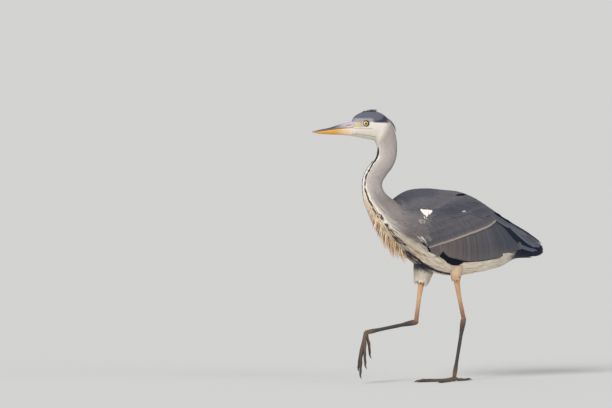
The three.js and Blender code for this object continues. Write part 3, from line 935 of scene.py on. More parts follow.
# %% [markdown]
# ## The bill
#
# A heron's bill is a dagger: a dark upper half with a ridge along the culmen and a groove that holds
# the nostril, over a horn-yellow lower half. In a workshop both would be filed from horn or cast.
# Each is a row of half-round sections between the mouth line and the culmen or chin.

# %% Build both halves of the bill
BILL = np.array([
    # x, culmen z, mouth z, chin z, half width
    [-331, 608.4, 607.4, 606.4, 0.8],
    [-309, 612.8, 609, 603, 2.8],
    [-280, 617.9, 612.2, 601.2, 4.8],
    [-252, 625.2, 614.8, 600.2, 6.8],
    [-220, 632.6, 616.4, 597.6, 9.0],
])
BILL_ROWS = 90
BILL_ARC = 34
BASE_LEAN = -5 / 35
BILL_TUCK = 6.0


def mandible(is_upper):
    """Half-round sections: z = edge + (far - edge) sin(angle)^0.75, y = half cos(angle). The last rows
    shrink a little and run on into the head. Returns rings and how high each point is, 0..1."""
    step = np.linspace(0, 1, BILL_ROWS)[:, None]
    x, culmen, mouth, chin, half = (smooth(column, step * (len(BILL) - 1)) for column in BILL.T)
    edge = mouth + (0.15 if is_upper else -0.15)
    far = culmen if is_upper else chin
    angle = np.linspace(0, np.pi, BILL_ARC)[None, :]
    high = np.sin(angle) ** 0.75
    side = half * np.cos(angle)
    groove = np.exp(-(((high - 0.52) / 0.15) ** 2)) * soft(-276, -244, x)
    slit = np.exp(-(((high - 0.5) / 0.07) ** 2)) * band(-238, -227, 2, x)
    if is_upper:
        side = side * (1 - (0.9 * groove + 0.9 * slit) / np.maximum(half, 3))
    else:
        side = side * (1 - 0.05 * np.exp(-(((high - 0.45) / 0.2) ** 2)) * soft(-290, -250, x))
    z = edge + (far - edge) * high
    inner = np.linspace(-0.8, 0.8, 8)[None, :]
    under_y = half * inner
    under_z = edge + (far - edge) * 0.08 * (1 - inner**2)
    y = np.concatenate([side, under_y], axis=1)
    z = np.concatenate([z, under_z], axis=1)
    x = x - 0.3 + step * BASE_LEAN * (BILL[-1, 1] - z)
    rings = points_of(x, y, z)
    middle = rings[-1:].mean(1, keepdims=True)
    tuck = (rings[-1:] - middle) * 0.86 + middle + np.array([BILL_TUCK, 0, 0])
    height = np.broadcast_to(np.concatenate([high, np.zeros((1, 8))], axis=1), rings.shape[:2])
    return np.concatenate([rings, tuck]), np.concatenate([height, height[-1:]])


def bill_tint(is_upper, rings, height):
    """Dark violet-brown above with a painted highlight along the ridge and a mauve base, whose top is lilac
    and partly painted highlight; orange-yellow below, pale at the base.
    """
    x = rings[..., 0]
    if is_upper:
        slit = np.exp(-(((height - 0.5) / 0.08) ** 2)) * band(-239, -226, 2, x)
        return layered(
            filled(light(58, 60, 76), x),
            # Painted highlight along the ridge of the upper half.
            (light(104, 102, 114), soft(0.75, 1, height)),
            (light(152, 140, 142), soft(-276, -244, x)),
            # Lilac-grey top near the base: the bill's own colour, made paler still as painted highlight.
            (light(180, 174, 180), soft(-262, -236, x) * soft(0.25, 0.6, height)),
            (light(206, 188, 170), 0.8 * soft(-254, -232, x) * soft(0.5, 0.25, height)),
            (light(150, 108, 78), 0.7 * soft(0.4, 0.08, height) * soft(-232, -250, x)),
            (light(74, 66, 70), 0.7 * slit),
            (light(150, 122, 84), 0.4 * soft(-316, -330, x)),
        )
    return layered(
        filled(light(218, 160, 58), x),
        (light(202, 148, 70), soft(0.6, 1, height)),
        (light(232, 200, 160), soft(-272, -240, x)),
        (light(230, 218, 202), soft(-240, -221, x)),
        (light(196, 140, 70), 0.5 * soft(-300, -326, x)),
    )


for is_upper, name, bill_slot in ((True, "bill_upper", "bill_dark"), (False, "bill_lower", "bill_orange")):
    rings, height = mandible(is_upper)
    tube_piece(name + "_horn", rings, bill_tint(is_upper, rings, height), BILL_FINISH, [name])
    print(name, "reaches from x", round(rings[..., 0].min(), 1), "to", round(rings[..., 0].max(), 1))

# %% [markdown]
# ## The eyes and their lids
#
# A heron's eye is pale yellow with a dark rim and sits low in front of the skull. Its axis leans
# forward, so that both eyes can see the tip of the bill. A taxidermist would set a glass eye. Here it
# is one solid ball, coloured by the distance from its axis: pupil, iris with fine rays, dark rim.

# %% Build the eyes
EYE_RADIUS = 7.9
EYE_LEAN = np.radians(16)
EYE_AXES = np.array([
    [np.cos(EYE_LEAN), -np.sin(EYE_LEAN), 0],
    [0, 0, 1],
    [-np.sin(EYE_LEAN), -np.cos(EYE_LEAN), 0],
])
PUPIL = 2.5
IRIS = 6.0


def eye_point(across, turn, out):
    """centre + across (cos turn * rearwards + sin turn * up) + out * axis, for the left eye."""
    return EYE_CENTRE + points_of(across * np.cos(turn), across * np.sin(turn), out) @ EYE_AXES


def on_side(points, sign):
    """The left eye's points, or their mirror image for the right side."""
    return points * np.array([1, -sign, 1])


def eye_tint(radius, turn):
    """Colour by distance from the eye's axis, with faint rays in the iris."""
    rays = 0.5 + 0.5 * np.sin(turn * 46 + 3 * np.sin(turn * 7))
    return layered(
        filled(light(218, 196, 104), radius),
        (light(192, 164, 76), 0.6 * rays),
        (light(132, 104, 44), soft(IRIS - 1.3, IRIS - 0.3, radius)),
        (light(140, 104, 36), 0.8 * soft(PUPIL + 1.3, PUPIL, radius)),
        (light(30, 24, 20), soft(IRIS - 0.2, IRIS + 0.1, radius)),
        (light(8, 8, 9), soft(PUPIL + 0.12, PUPIL - 0.12, radius)),
    )


def eye_rings(sign):
    """A ball whose pole looks along the eye's axis: radius sin(polar) round it, radius cos(polar) along."""
    polar = np.concatenate([np.linspace(0.02, 1.0, 56), np.linspace(1.1, np.pi - 0.1, 14)])[:, None]
    turn = np.linspace(0, TURN, 72, endpoint=False)[None, :]
    across = EYE_RADIUS * np.sin(polar)
    rings = on_side(eye_point(across, turn, EYE_RADIUS * np.cos(polar)), sign)
    front = np.where(polar < np.pi / 2, across, EYE_RADIUS * 2)
    return rings, eye_tint(front + 0 * turn, turn + 0 * polar)


for sign, side in ((-1, "left"), (1, "right")):
    rings, colours = eye_rings(sign)
    tube_piece("eyeball_" + side, rings, colours, EYE_FINISH, ["eye_" + side])


print("the ball stands out to y", round(float(EYE_CENTRE[1] - EYE_RADIUS), 1))

# %% Build the lids
def lid_rings(sign):
    """A fold of skin round the eye: from just over the ball, across a low crest, down into the cheek.
    The opening is a little longer than it is high, with a corner in front and one behind."""
    across = np.linspace(0, 1, 21)[None, :]
    turn = np.linspace(0, TURN, 120, endpoint=False)[:, None]
    inner = 5.45 + 0.6 * np.abs(np.cos(turn)) ** 5
    radius = inner + (10.6 - inner) * across
    ball = np.sqrt(np.maximum(EYE_RADIUS**2 - radius**2, 0)) + 0.1
    lid = eye_point(radius, turn, ball + 0.75 * band(0.1, 0.5, 0.16, across))
    t, angle = side_spot(lid[..., 0], lid[..., 2], 0.2, 5)
    cheek_y = coat(t, angle, 0.9)[..., 1] + 1.4 * soft(0.75, 1.0, across)
    cheek = points_of(lid[..., 0], cheek_y, lid[..., 2])
    blend = soft(0.2, 0.6, across)[..., None]
    rings = on_side(lid * (1 - blend) + cheek * blend, sign)
    dark_to = 0.26 + 0.22 * soft(0.2, 0.9, np.cos(turn))
    return rings, layered(
        filled(light(40, 32, 30), radius),
        (light(128, 118, 92), soft(dark_to, dark_to + 0.16, across)),
        (light(214, 208, 200), 0.95 * soft(dark_to + 0.16, dark_to + 0.36, across)),
    )


def closed_band(rings):
    """A ring-shaped strip with a back to it: the same points again, 1.5 mm nearer the middle plane."""
    back = rings.copy()
    back[..., 1] = back[..., 1] * 0.9
    loop = np.concatenate([rings, back[:, ::-1]], axis=1)
    n, m = loop.shape[:2]
    i, j = (grid.ravel() for grid in grid_of(np.arange(n), np.arange(m)))
    here, beside = i * m + j, i * m + (j + 1) % m
    above, corner = (i + 1) % n * m + j, (i + 1) % n * m + (j + 1) % m
    quads = points_of(here, beside, corner, above)
    points = loop.reshape(-1, 3)
    unrolled = points_of(points_of(i, i, i + 1, i + 1) / n, points_of(j, j + 1, j + 1, j) / m)
    if face_volume(points, quads) < 0:
        return points, quads[:, ::-1], unrolled[:, ::-1].reshape(-1, 2)
    return points, quads, unrolled.reshape(-1, 2)


NO_TRIS = np.zeros((0, 3), int)
for sign, side in ((-1, "left"), (1, "right")):
    rings, colours = lid_rings(sign)
    points, quads, unrolled = closed_band(rings)
    colours = np.concatenate([colours, colours[:, ::-1]], axis=1).reshape(-1, 3)
    new_piece(
        "eyelids_" + side, points * MM, quads, NO_TRIS, colours, {"UVMap": unrolled}, SKIN_FINISH)
    print("eyelids_" + side, "has", len(points), "points")

# %% [markdown]
# ## Legs, feet and claws
#
# The left leg bears the bird, its toes spread flat on the floor. The right one is lifted in mid-step,
# with the toes hanging together. Each leg is one scaly piece from the thigh's hem to the toe tips,
# and each claw is a curved cone of horn of its own.

# %% Scutes and toes
TOES = [("middle", 98, 4), ("inner", 74, 34), ("outer", 82, -33), ("hind", 50, 166)]
ANKLE_RADIUS = 6.8
SHANK_RADIUS = 4.4
TOE_RADIUS = 3.6
TOE_HEIGHT = 2.7
CLAW_LENGTH = 14
PAD_SPACING = 23
HUB_RADIUS = 5.4
HUB_DROP = {"left": 4, "right": 2}


def scutes(pitch, height):
    """Overlapping plates on the front: a saw tooth along the limb, rounded off towards the sides."""
    def relief(along, angle, radius):
        tooth = (along / pitch) % 1.0
        front = soft(-0.1, -0.7, np.sin(angle))
        return height * (soft(0.0, 0.25, tooth) - soft(0.75, 1.0, tooth) * 0.8 - 0.4) * front
    return relief


def toe_relief(along, angle, radius):
    """Scutes on top, and a row of pads below."""
    pads = 0.5 * np.sin(along / PAD_SPACING * TURN) * soft(0.2, 0.8, np.sin(angle))
    return scutes(3.6, 0.35)(along, angle, radius) + pads


def planted_toe(leg, length, spread):
    """Path of a toe flat on the floor, and of its claw, turned by spread degrees from straight ahead."""
    x, y = leg["toes"][:2]
    turn = np.radians(spread)
    def ahead(reach, z):
        return [x - reach * np.cos(turn), y + reach * np.sin(turn), z]
    path = [ahead(-1, 7.5), ahead(16, 4.2), ahead(30, TOE_HEIGHT), ahead(length * 0.7, TOE_HEIGHT)]
    path.append(ahead(length, TOE_HEIGHT))
    claw = [ahead(length - 3, TOE_HEIGHT + 0.4), ahead(length + 3, 3.6), ahead(length + 8.4, 2.9)]
    claw.append(ahead(length + CLAW_LENGTH, 0.9))
    return path, claw


def hanging_toe(leg, length, spread, is_hind):
    """Path of a toe that hangs from the joint, bent back a little, and of its claw."""
    x, y, z = leg["toes"]
    forward = -22 if is_hind else 16 - abs(spread) * 0.1
    aside = 2 if is_hind else -spread * 0.5
    def reach(share):
        drop = length * share
        bend = np.sin(share * np.pi / 2) * length / 92
        return np.array([x - forward * bend, y + aside * share * length / 92, z - drop])
    path = [reach(share) for share in (0.0, 0.3, 0.65, 1.0)]
    tip, before = path[3], path[2]
    curls = ((-3, 0), (CLAW_LENGTH * 0.25, -0.3), (CLAW_LENGTH * 0.6, 1), (CLAW_LENGTH, 4))
    claw = [towards(tip, before, -far) + np.array([curl, 0, 0]) for far, curl in curls]
    return path, claw


print("toes:", ", ".join(name for name, _, _ in TOES))

# %% Build legs and claws
def leg_tint(rings, side):
    """Buff at the thigh's hem, brown round the ankle, nearly black down the shank, brown-grey toes."""
    end, ankle, toes = (np.array(LEGS[side][place], float) for place in ("end", "ankle", "toes"))
    above, from_ankle, below = (np.linalg.norm(rings - place, axis=-1) for place in (end, ankle, toes))
    is_shin = above < np.linalg.norm(ankle - end) - 1
    upper = over(filled(light(196, 154, 116), above), light(140, 102, 76), soft(40, 95, above))
    lower = layered(
        filled(light(58, 52, 50), above),
        (light(104, 80, 60), soft(30, 8, below)),
        (light(104, 80, 60), soft(24, 6, from_ankle)),
    )
    return np.where(is_shin[..., None], upper, lower)


def leg_tubes(side):
    """Shin and shank. The shank starts inside the shin, so that no gap shows at the ankle."""
    leg = LEGS[side]
    thigh_end = towards(leg["end"], leg["hip"], 14)
    ankle_top = towards(leg["ankle"], leg["end"], ANKLE_RADIUS)
    shin_path = [thigh_end, towards(leg["end"], leg["ankle"], 35), ankle_top]
    shin = limb(shin_path, [10.0, 7.6, 6.0, 5.2, 5.2, 5.4], 150, 32, relief=scutes(3.8, 0.25))
    start = towards(leg["ankle"], leg["end"], ANKLE_RADIUS + 3)
    bend = towards(leg["ankle"], leg["toes"], ANKLE_RADIUS)
    halfway = (np.array(leg["ankle"]) + np.array(leg["toes"])) / 2
    r = SHANK_RADIUS
    radii = [4.6, ANKLE_RADIUS, 5.8, r, r, r * 0.95, r * 0.95, r, r * 1.25, r * 1.1]
    shank = limb([start, leg["ankle"], bend, halfway, leg["toes"]], radii, 260, 32, relief=scutes(4.6, 0.4))
    return [capped(rings, leg_tint(rings, side)) for rings in (shin, shank)]


def foot_hub(side):
    """The ball where the toes meet, just below the shank's end."""
    polar = np.linspace(0.1, np.pi - 0.1, 18)[:, None]
    turn = np.linspace(0, TURN, 28, endpoint=False)[None, :]
    ball = points_of(np.sin(polar) * np.cos(turn), np.sin(polar) * np.sin(turn), np.cos(polar))
    centre = np.array(LEGS[side]["toes"], float) - [0, 0, HUB_DROP[side]]
    return capped(above_floor(centre + ball * HUB_RADIUS), filled(light(100, 78, 60), ball[..., 0]))


def darkening(rings, colour, tip_colour, until):
    """One colour that turns into another from a fifth of a tube's length on."""
    share = np.linspace(0, 1, len(rings))[:, None] + 0 * rings[..., 0]
    return over(filled(colour, share), tip_colour, soft(0.2, until, share))


def toe_and_claw(side, name, length, spread):
    """Makes a claw as a piece of its own, and returns its toe as a coloured tube."""
    if side == "left":
        path, claw_path = planted_toe(LEGS[side], length, spread)
    else:
        path, claw_path = hanging_toe(LEGS[side], length, spread, name == "hind")
    radii = TOE_RADIUS * np.array([1.25, 1.05, 0.95, 1, 0.86, 0.9, 0.7])
    toe = above_floor(limb(path, radii, 120, 24, 0.95, toe_relief))
    claw = above_floor(limb(claw_path, [2.9, 2.6, 2.0, 1.2, 0.35], 40, 20, 0.8))
    claw_tint = darkening(claw, light(52, 44, 40), light(24, 22, 22), 0.8)
    tube_piece(f"nail_{name}_{side}", claw, claw_tint, CLAW_FINISH, [f"claw_{name}_{side}"])
    return capped(toe, darkening(toe, light(92, 74, 60), light(60, 50, 44), 1.0))


for side in LEGS:
    toes = [toe_and_claw(side, *toe) for toe in TOES]
    points, quads, tris, unrolled, colours = joined([*leg_tubes(side), foot_hub(side), *toes])
    new_piece(
        "leg_" + side, points * MM, quads, tris, colours, {"UVMap": unrolled}, LEG_FINISH,
        ["shin_" + side, "shank_" + side, "foot_" + side],
    )
    print("leg_" + side, "has", len(points), "points")

# %% [markdown]
# ## One feather
#
# A contour feather is a stiff shaft with two soft vanes, curved a little across. In the model it is a
# closed leaf: sections along the shaft, each with a few points across the top and one beneath.
# It follows the coat's surface, starts low among the roots and rises to the surface at its tip.
# Its rim is marked sharp, so that top and bottom shade as two thin faces and not as a pillow.

# %% Faces of one vane
PATCH = 0.003


def vane_template(u, columns):
    """Faces of one closed vane with sections at the shares u of its length, the first and last of them
    points. For each corner also its share of the length and its place across the unwrap patch."""
    m = columns + 1
    sections = len(u) - 1
    lap = np.concatenate([np.linspace(0, 0.7, columns), [0.85, 1.0]])
    k, j = (grid.ravel() for grid in grid_of(np.arange(sections - 2), np.arange(m)))
    here, beside = 1 + k * m + j, 1 + k * m + (j + 1) % m
    quads = points_of(here, beside, beside + m, here + m)
    quad_u = u[points_of(k + 1, k + 1, k + 2, k + 2)]
    quad_lap = points_of(lap[j], lap[j + 1], lap[j + 1], lap[j])
    j = np.arange(m)
    last = 1 + (sections - 2) * m
    tip = last + m
    root_fan = points_of(0, 1 + (j + 1) % m, 1 + j)
    tip_fan = points_of(last + j, last + (j + 1) % m, tip)
    middle = (lap[j] + lap[j + 1]) / 2
    tri_u = np.concatenate([np.tile(u[[0, 1, 1]], (m, 1)), np.tile(u[[-2, -2, -1]], (m, 1))])
    tri_lap = np.concatenate([points_of(middle, lap[j + 1], lap[j]), points_of(lap[j], lap[j + 1], middle)])
    return quads, np.concatenate([root_fan, tip_fan]), (quad_u, quad_lap), (tri_u, tri_lap)


def leaf(u, roundness):
    """Half width along a vane, 0..1: it widens from the quill and closes at the tip. A roundness of 0.15
    gives a blunt tip, 0.5 a round one, and 1 a pointed one."""
    return np.minimum(1, 0.35 + 1.3 * u) * np.maximum(1 - u ** 3, 0) ** roundness


print("half width of a round vane:", np.round(leaf(np.linspace(0, 1, 6), 0.5), 2))

# %% Colours and points of a flock
def paint(tint, u, v, rng, jitter=0.05, fringe=None, cover=0.0, shaft=0.0, deep=0.25, tip=None,
          tip_from=0.8):
    """Colours a flock: each feather a little lighter or darker, darker at its root as painted shade
    where it lies under its neighbours, with a fringe along its edge, a dark shaft and a coloured tip
    where given."""
    count = len(tint)
    own = 1 + rng.normal(0, jitter, (count, 1))
    colours = np.broadcast_to((tint * own)[:, None, None, :], (count, len(u), len(v), 3))
    u_grid = np.broadcast_to(u[None, :, None], colours.shape[:3])
    v_grid = np.broadcast_to(np.abs(v)[None, None, :], colours.shape[:3])
    # Painted shade: each feather darkens towards its root, which lies under its neighbours.
    colours = colours * (1 - deep * soft(0.6, 0.0, u_grid))[..., None]
    if fringe is not None:
        at_edge = np.maximum(soft(0.55, 1.0, v_grid), soft(0.72, 0.98, u_grid))
        colours = over(colours, fringe, cover * at_edge)
    if tip is not None:
        colours = over(colours, tip, soft(tip_from, tip_from + 0.08, u_grid))
    return over(colours, light(30, 30, 36), shaft * soft(0.3, 0.0, v_grid) * soft(1.0, 0.8, u_grid))


def leaf_points(centre, outward, sides, depth, thickness, camber, roll, reach):
    """Points of all vanes: across the top at sides, lowered by depth, arched by camber and tilted by
    roll; one point beneath the shaft; and a point at each end."""
    v = np.linspace(-1, 1, sides.shape[2])
    lift = -depth[..., None] + camber * reach[..., None] * (1 - v**2) + (roll * reach[..., None]) * v
    top = sides + outward[:, :, None] * lift[..., None]
    low = depth + thickness - camber * reach
    beneath = centre - outward * low[..., None]
    rings = np.concatenate([top, beneath[:, :, None]], axis=2)
    ends = centre - outward * (depth + thickness * 0.5)[..., None]
    count = len(centre)
    inner = rings[:, 1:-1].reshape(count, -1, 3)
    return np.concatenate([ends[:, :1], inner, ends[:, -1:]], axis=1)


print("a patch of the unwrap is", PATCH, "across")

# %% Flocks of vanes
RISE = 1.2


def flock(u, centre, outward, sides, reach, depth, colours, place, thickness=0.3, camber=0.12, roll=0.0):
    """Many vanes as one set of arrays, with their Vane map (centimetres along and across), their patch
    of the unwrap and their colours."""
    count, sections, columns = len(centre), centre.shape[1] - 1, sides.shape[2]
    length = np.linalg.norm(np.diff(centre, axis=1), axis=-1).sum(1)
    points = leaf_points(centre, outward, sides, depth, thickness, camber, roll, reach)
    quads, tris, (quad_u, quad_lap), (tri_u, tri_lap) = vane_template(u, columns)
    shift = (np.arange(count) * points.shape[1])[:, None, None]
    inner = colours[:, 1:-1].reshape(count, -1, 3)
    tint = np.concatenate([colours[:, 0, :1], inner, colours[:, -1, :1]], axis=1)
    rim = np.zeros(points.shape[1], bool)
    rim[[0, -1]] = True
    rim[1:-1].reshape(sections - 1, columns + 1)[:, [0, columns - 1]] = True
    v = np.concatenate([np.linspace(-1, 1, columns), [0]])
    widest = reach.max(1)
    across = np.concatenate([[0], np.tile(v, sections - 1), [0]])

    def maps(faces, along, lap):
        vane = points_of(length[:, None, None] * along / 10, widest[:, None, None] * across[faces] / 10)
        patch = place[:, None, None] + PATCH * (points_of(lap, along) - 0.5)[None]
        return vane.reshape(-1, 2), patch.reshape(-1, 2)

    quad_vane, quad_patch = maps(quads, quad_u, quad_lap)
    tri_vane, tri_patch = maps(tris, tri_u, tri_lap)
    return {
        "points": points.reshape(-1, 3), "tint": tint.reshape(-1, 3), "rim": np.tile(rim, count),
        "quads": (quads + shift).reshape(-1, 4), "tris": (tris + shift).reshape(-1, 3),
        "quad_vane": quad_vane, "tri_vane": tri_vane, "quad_patch": quad_patch, "tri_patch": tri_patch,
        "count": count,
    }


def lying(surface, t, angle, half_width, depths, region, tint, rng, options, columns=3, roundness=0.6,
          end=LAST, thickness=0.3, camber=0.12, roll=0.0):
    """Vanes that lie on a surface along paths of (t, angle). Their points across are on the surface too,
    as far to either side as the vane is wide there. options are those of paint."""
    along, around, outward = tangents(surface, t, angle)
    centre = surface(t, angle)
    stride = np.linalg.norm(np.diff(centre, axis=1), axis=-1).mean(0)
    u = np.minimum(np.concatenate([[0], np.cumsum(stride)]) / stride.sum(), 1)
    forward = unit(np.gradient(centre, axis=1))
    forward = unit(forward - outward * (forward * outward).sum(-1, keepdims=True))
    sideways = np.cross(forward, outward)
    by_t, by_angle = surface_step(along, around, sideways)
    reach = np.asarray(half_width)[:, None] * leaf(u, roundness)[None]
    v = np.linspace(-1, 1, columns)
    side_t = np.clip(t[..., None] + by_t[..., None] * reach[..., None] * v, 0, end)
    side_angle = angle[..., None] + by_angle[..., None] * reach[..., None] * v
    sides = surface(side_t, side_angle)
    root_depth, tip_depth = (np.broadcast_to(value, (len(t),))[:, None] for value in depths)
    depth = tip_depth + (root_depth - tip_depth) * (1 - u[None]) ** RISE
    colours = paint(tint, u, np.concatenate([v, [0]]), rng, **options)
    along_body = np.interp(t[:, 0], FINE_T, RUN) / RUN[-1] if region == "body" else t[:, 0]
    place = unwrap_place(region, np.clip(along_body, 0, 1), angle[:, 0] / TURN % 1.0)
    roll = np.broadcast_to(roll, (len(t),))[:, None, None]
    return flock(u, centre, outward, sides, reach, depth, colours, place, thickness, camber, roll)


def coat_piece(name, flocks, material, stands_for=()):
    """Joins flocks into one piece and marks the rims of its vanes sharp."""
    shifts = np.cumsum([0] + [len(part["points"]) for part in flocks[:-1]])

    def gather(key):
        return np.concatenate([part[key] for part in flocks])

    quads = np.concatenate([part["quads"] + shift for part, shift in zip(flocks, shifts)])
    tris = np.concatenate([part["tris"] + shift for part, shift in zip(flocks, shifts)])
    maps = {
        "OFBake": np.concatenate([gather("quad_patch"), gather("tri_patch")]),
        "Vane": np.concatenate([gather("quad_vane"), gather("tri_vane")]),
    }
    piece = new_piece(
        name, gather("points") * MM, quads, tris, gather("tint"), maps, material, stands_for)
    rim = gather("rim")
    ends = np.empty(len(piece.data.edges) * 2, np.int32)
    piece.data.edges.foreach_get("vertices", ends)
    ends = ends.reshape(-1, 2)
    sharp = piece.data.attributes.new("sharp_edge", "BOOLEAN", "EDGE")
    sharp.data.foreach_set("value", rim[ends[:, 0]] & rim[ends[:, 1]])
    triangles = 2 * len(quads) + len(tris)
    print(name + ":", sum(part["count"] for part in flocks), "feathers,", triangles, "triangles")
    return piece


# %% [markdown]
# ## The face
#
# The face has the smallest feathers: a few millimetres long, hair-like, pointing back from the bill.
# The lores between bill and eye stay bare. Roots too near the eye are left out, so that the lids show.

# %% Where the head has no feathers
def near_eye(points, reach):
    """True for points within reach of an eye, seen from the side."""
    return (off_eye(points) < reach) & (np.abs(points[..., 1]) > 7)


def on_lores(points):
    """True in the bare patch between the bill and the eye."""
    x, z = points[..., 0], points[..., 2]
    low = np.interp(x, [-222, -210, -196], [618.5, 619.5, 622])
    high = np.interp(x, [-222, -212, -196], [629.5, 630, 629])
    return (x < -194) & (z > low) & (z < high) & (np.abs(points[..., 1]) > 5)


print("the middle of the lids is clear:", near_eye(EYE_RIM[None], 7.9))

# %% Feathers of the head
def tract(t_range, angle_range, spacing, across, length, half_width, depths, seed, options, columns=3,
          steps=5, keep=None, colour=None, roll=0.06, **shape):
    """Scatters roots over part of the coat, walks a path from each and makes the vanes. Lengths, widths
    and depths are numbers or functions of (t, angle)."""
    rng = np.random.default_rng(seed)

    def value_of(rule, t, angle):
        return rule(t, angle) if callable(rule) else np.full(t.shape, float(rule))

    t, angle = scatter(coat, t_range, angle_range, spacing, across, rng)
    own_length = value_of(length, t, angle) * rng.uniform(0.88, 1.12, t.shape)
    path_t, path_angle = walk(coat, t, angle, own_length, steps, rng.normal(0, 0.06, t.shape))
    if keep is not None:
        kept = keep(path_t, path_angle)
        path_t, path_angle = path_t[kept], path_angle[kept]
    t, angle = path_t[:, 0], path_angle[:, 0]
    middle = int(round(0.4 * steps))
    tint = coat_tint(path_t[:, middle], path_angle[:, middle])
    if colour is not None:
        tint = colour(path_t, path_angle, tint, rng)
    width = value_of(half_width, t, angle) * rng.uniform(0.9, 1.1, len(t))
    root = value_of(depths[0], t, angle) * rng.uniform(0.9, 1.1, len(t))
    tip = value_of(depths[1], t, angle) + rng.uniform(0, 0.1, len(t)) * width
    own_roll = rng.normal(0, roll, len(t))
    return lying(
        coat, path_t, path_angle, width, (root, tip), "body", tint, rng, options, columns, roll=own_roll,
        **shape)


def clear_of_face(path_t, path_angle):
    """Keeps head feathers that never come over an eye and don't start on the lores."""
    points = coat(path_t, path_angle)
    return ~near_eye(points, 7.9).any(1) & ~on_lores(points)[:, :3].any(1)


def by_station(stations, values):
    """A rule for tract: a value that changes evenly from station to station."""
    return lambda t, angle: np.interp(t, stations, values)


head_length = by_station([0, 1.5, 3, 5.5], [5.0, 6.5, 8.5, 12.0])
FINE = {"jitter": 0.03, "deep": 0.06}
face = tract(
    (0.05, 4.95), ALL_ROUND, 2.0, 1.5, head_length, 0.85, (0.5, 0.05), 21, keep=clear_of_face, roll=0.03,
    roundness=0.9, thickness=0.12, camber=0.08, options=FINE,
)
coat_piece("face_feathers", [face], COVERT_FINISH)

# %% [markdown]
# ## The crest
#
# On the crown the feathers are longer and stand a little loose. They lie back over each other in one
# low tuft that ends in a few points behind the eye, and give the head its peaked outline. From the
# nape hang four long thin plumes, close along the back of the neck.

# %% Free feathers on paths in space
def hanging(start, finish, bend, half_width, tint, rng, t, angle, facing, columns=3, steps=7,
            thickness=0.2, roundness=0.9, camber=0.15, **options):
    """Vanes on free paths from start to finish, pushed aside by bend in the middle: a parabola."""
    share = shares(steps)
    u = share[None, :, None]
    centre = start[:, None] * (1 - u) + finish[:, None] * u + bend[:, None] * 4 * u * (1 - u)
    forward = unit(np.gradient(centre, axis=1))
    outward = np.broadcast_to(facing[:, None], centre.shape)
    outward = unit(outward - forward * (outward * forward).sum(-1, keepdims=True))
    sideways = np.cross(forward, outward)
    reach = half_width[:, None] * leaf(share, roundness)[None]
    v = np.linspace(-1, 1, columns)
    sides = centre[:, :, None] + sideways[:, :, None] * (reach[..., None] * v)[..., None]
    colours = paint(tint, share, np.concatenate([v, [0]]), rng, **options)
    place = unwrap_place("body", np.interp(t, FINE_T, RUN) / RUN[-1], angle / TURN % 1.0)
    flat = np.zeros(reach.shape)
    roll = np.zeros((len(start), 1, 1))
    return flock(share, centre, outward, sides, reach, flat, colours, place, thickness, camber, roll)


CREST_COUNT = 170
crest_rng = np.random.default_rng(31)
crest_x = crest_rng.uniform(-203, -166, CREST_COUNT)
crest_up = crest_rng.uniform(0, 1, CREST_COUNT) ** 0.8
crest_aside = crest_rng.normal(0, 0.45, CREST_COUNT).clip(-1, 1)
crest_floor = np.interp(crest_x, [-205, -193, -180, -165], [645.5, 650.5, 653.5, 653.5])
crest_start = points_of(crest_x, crest_aside * 9, crest_floor - 1.6 - 3.0 * crest_aside**2)
crest_length = np.interp(crest_x, [-203, -190, -166], [20, 27, 20]) * crest_rng.uniform(0.8, 1.1, CREST_COUNT)
crest_roof = np.interp(
    crest_x + crest_length, [-190, -180, -165, -150, -140], [656.5, 661.0, 663.0, 663.6, 662.0])
crest_rise = (crest_roof - crest_floor) * crest_up * (1 - 0.6 * np.abs(crest_aside))
crest_finish = points_of(crest_x + crest_length, crest_aside * 6, crest_floor + crest_rise - 0.5)
crest_bend = points_of(0, 0, 1.0 + 0.6 * crest_up)
crest_facing = points_of(-0.1, crest_aside * 0.9, 1)
crest_tint = over(
    filled(light(62, 68, 84), crest_x), light(40, 48, 66), crest_rng.uniform(0, 1, CREST_COUNT))
crest = hanging(
    crest_start, crest_finish, crest_bend, np.full(CREST_COUNT, 1.5), crest_tint, crest_rng,
    np.interp(crest_x, [-203, -166], [1.6, 3.4]), 0 * crest_x, crest_facing, jitter=0.06, deep=0.1,
)
PLUME_SIDES = np.array([-2.2, -0.8, 0.8, 2.2])
nape_plumes = hanging(
    points_of(-124, PLUME_SIDES * 1.5, 642.5),
    points_of(-92.5, PLUME_SIDES * 0.8, 600 + 4.0 * np.abs(PLUME_SIDES)),
    points_of(4.2, 0 * PLUME_SIDES, 3.0),
    np.full(4, 1.7), filled(light(44, 52, 68), PLUME_SIDES), crest_rng, np.full(4, 5.3), 0 * PLUME_SIDES,
    points_of(1.0, PLUME_SIDES * 0.15, 0.5), steps=12, jitter=0.06, deep=0.1,
)
coat_piece("crest_feathers", [crest, nape_plumes], COVERT_FINISH, ["crest"])

# %% [markdown]
# ## The neck
#
# The neck's feathers are soft and narrow and lie smoothly along the S of the neck. They make two
# pieces, upper and lower, which keeps each one light. Down the front run broken rows of dark streaks,
# one row on each side: narrow feathers laid over the white ones. High up the two rows come close.

# %% Feathers of the neck
neck_length = by_station([4.5, 8, 13, 17, 19.5], [12, 17, 22, 28, 33])
neck_width = by_station([4.5, 10, 14, 17, 19.5], [1.1, 1.4, 1.7, 2.5, 3.4])


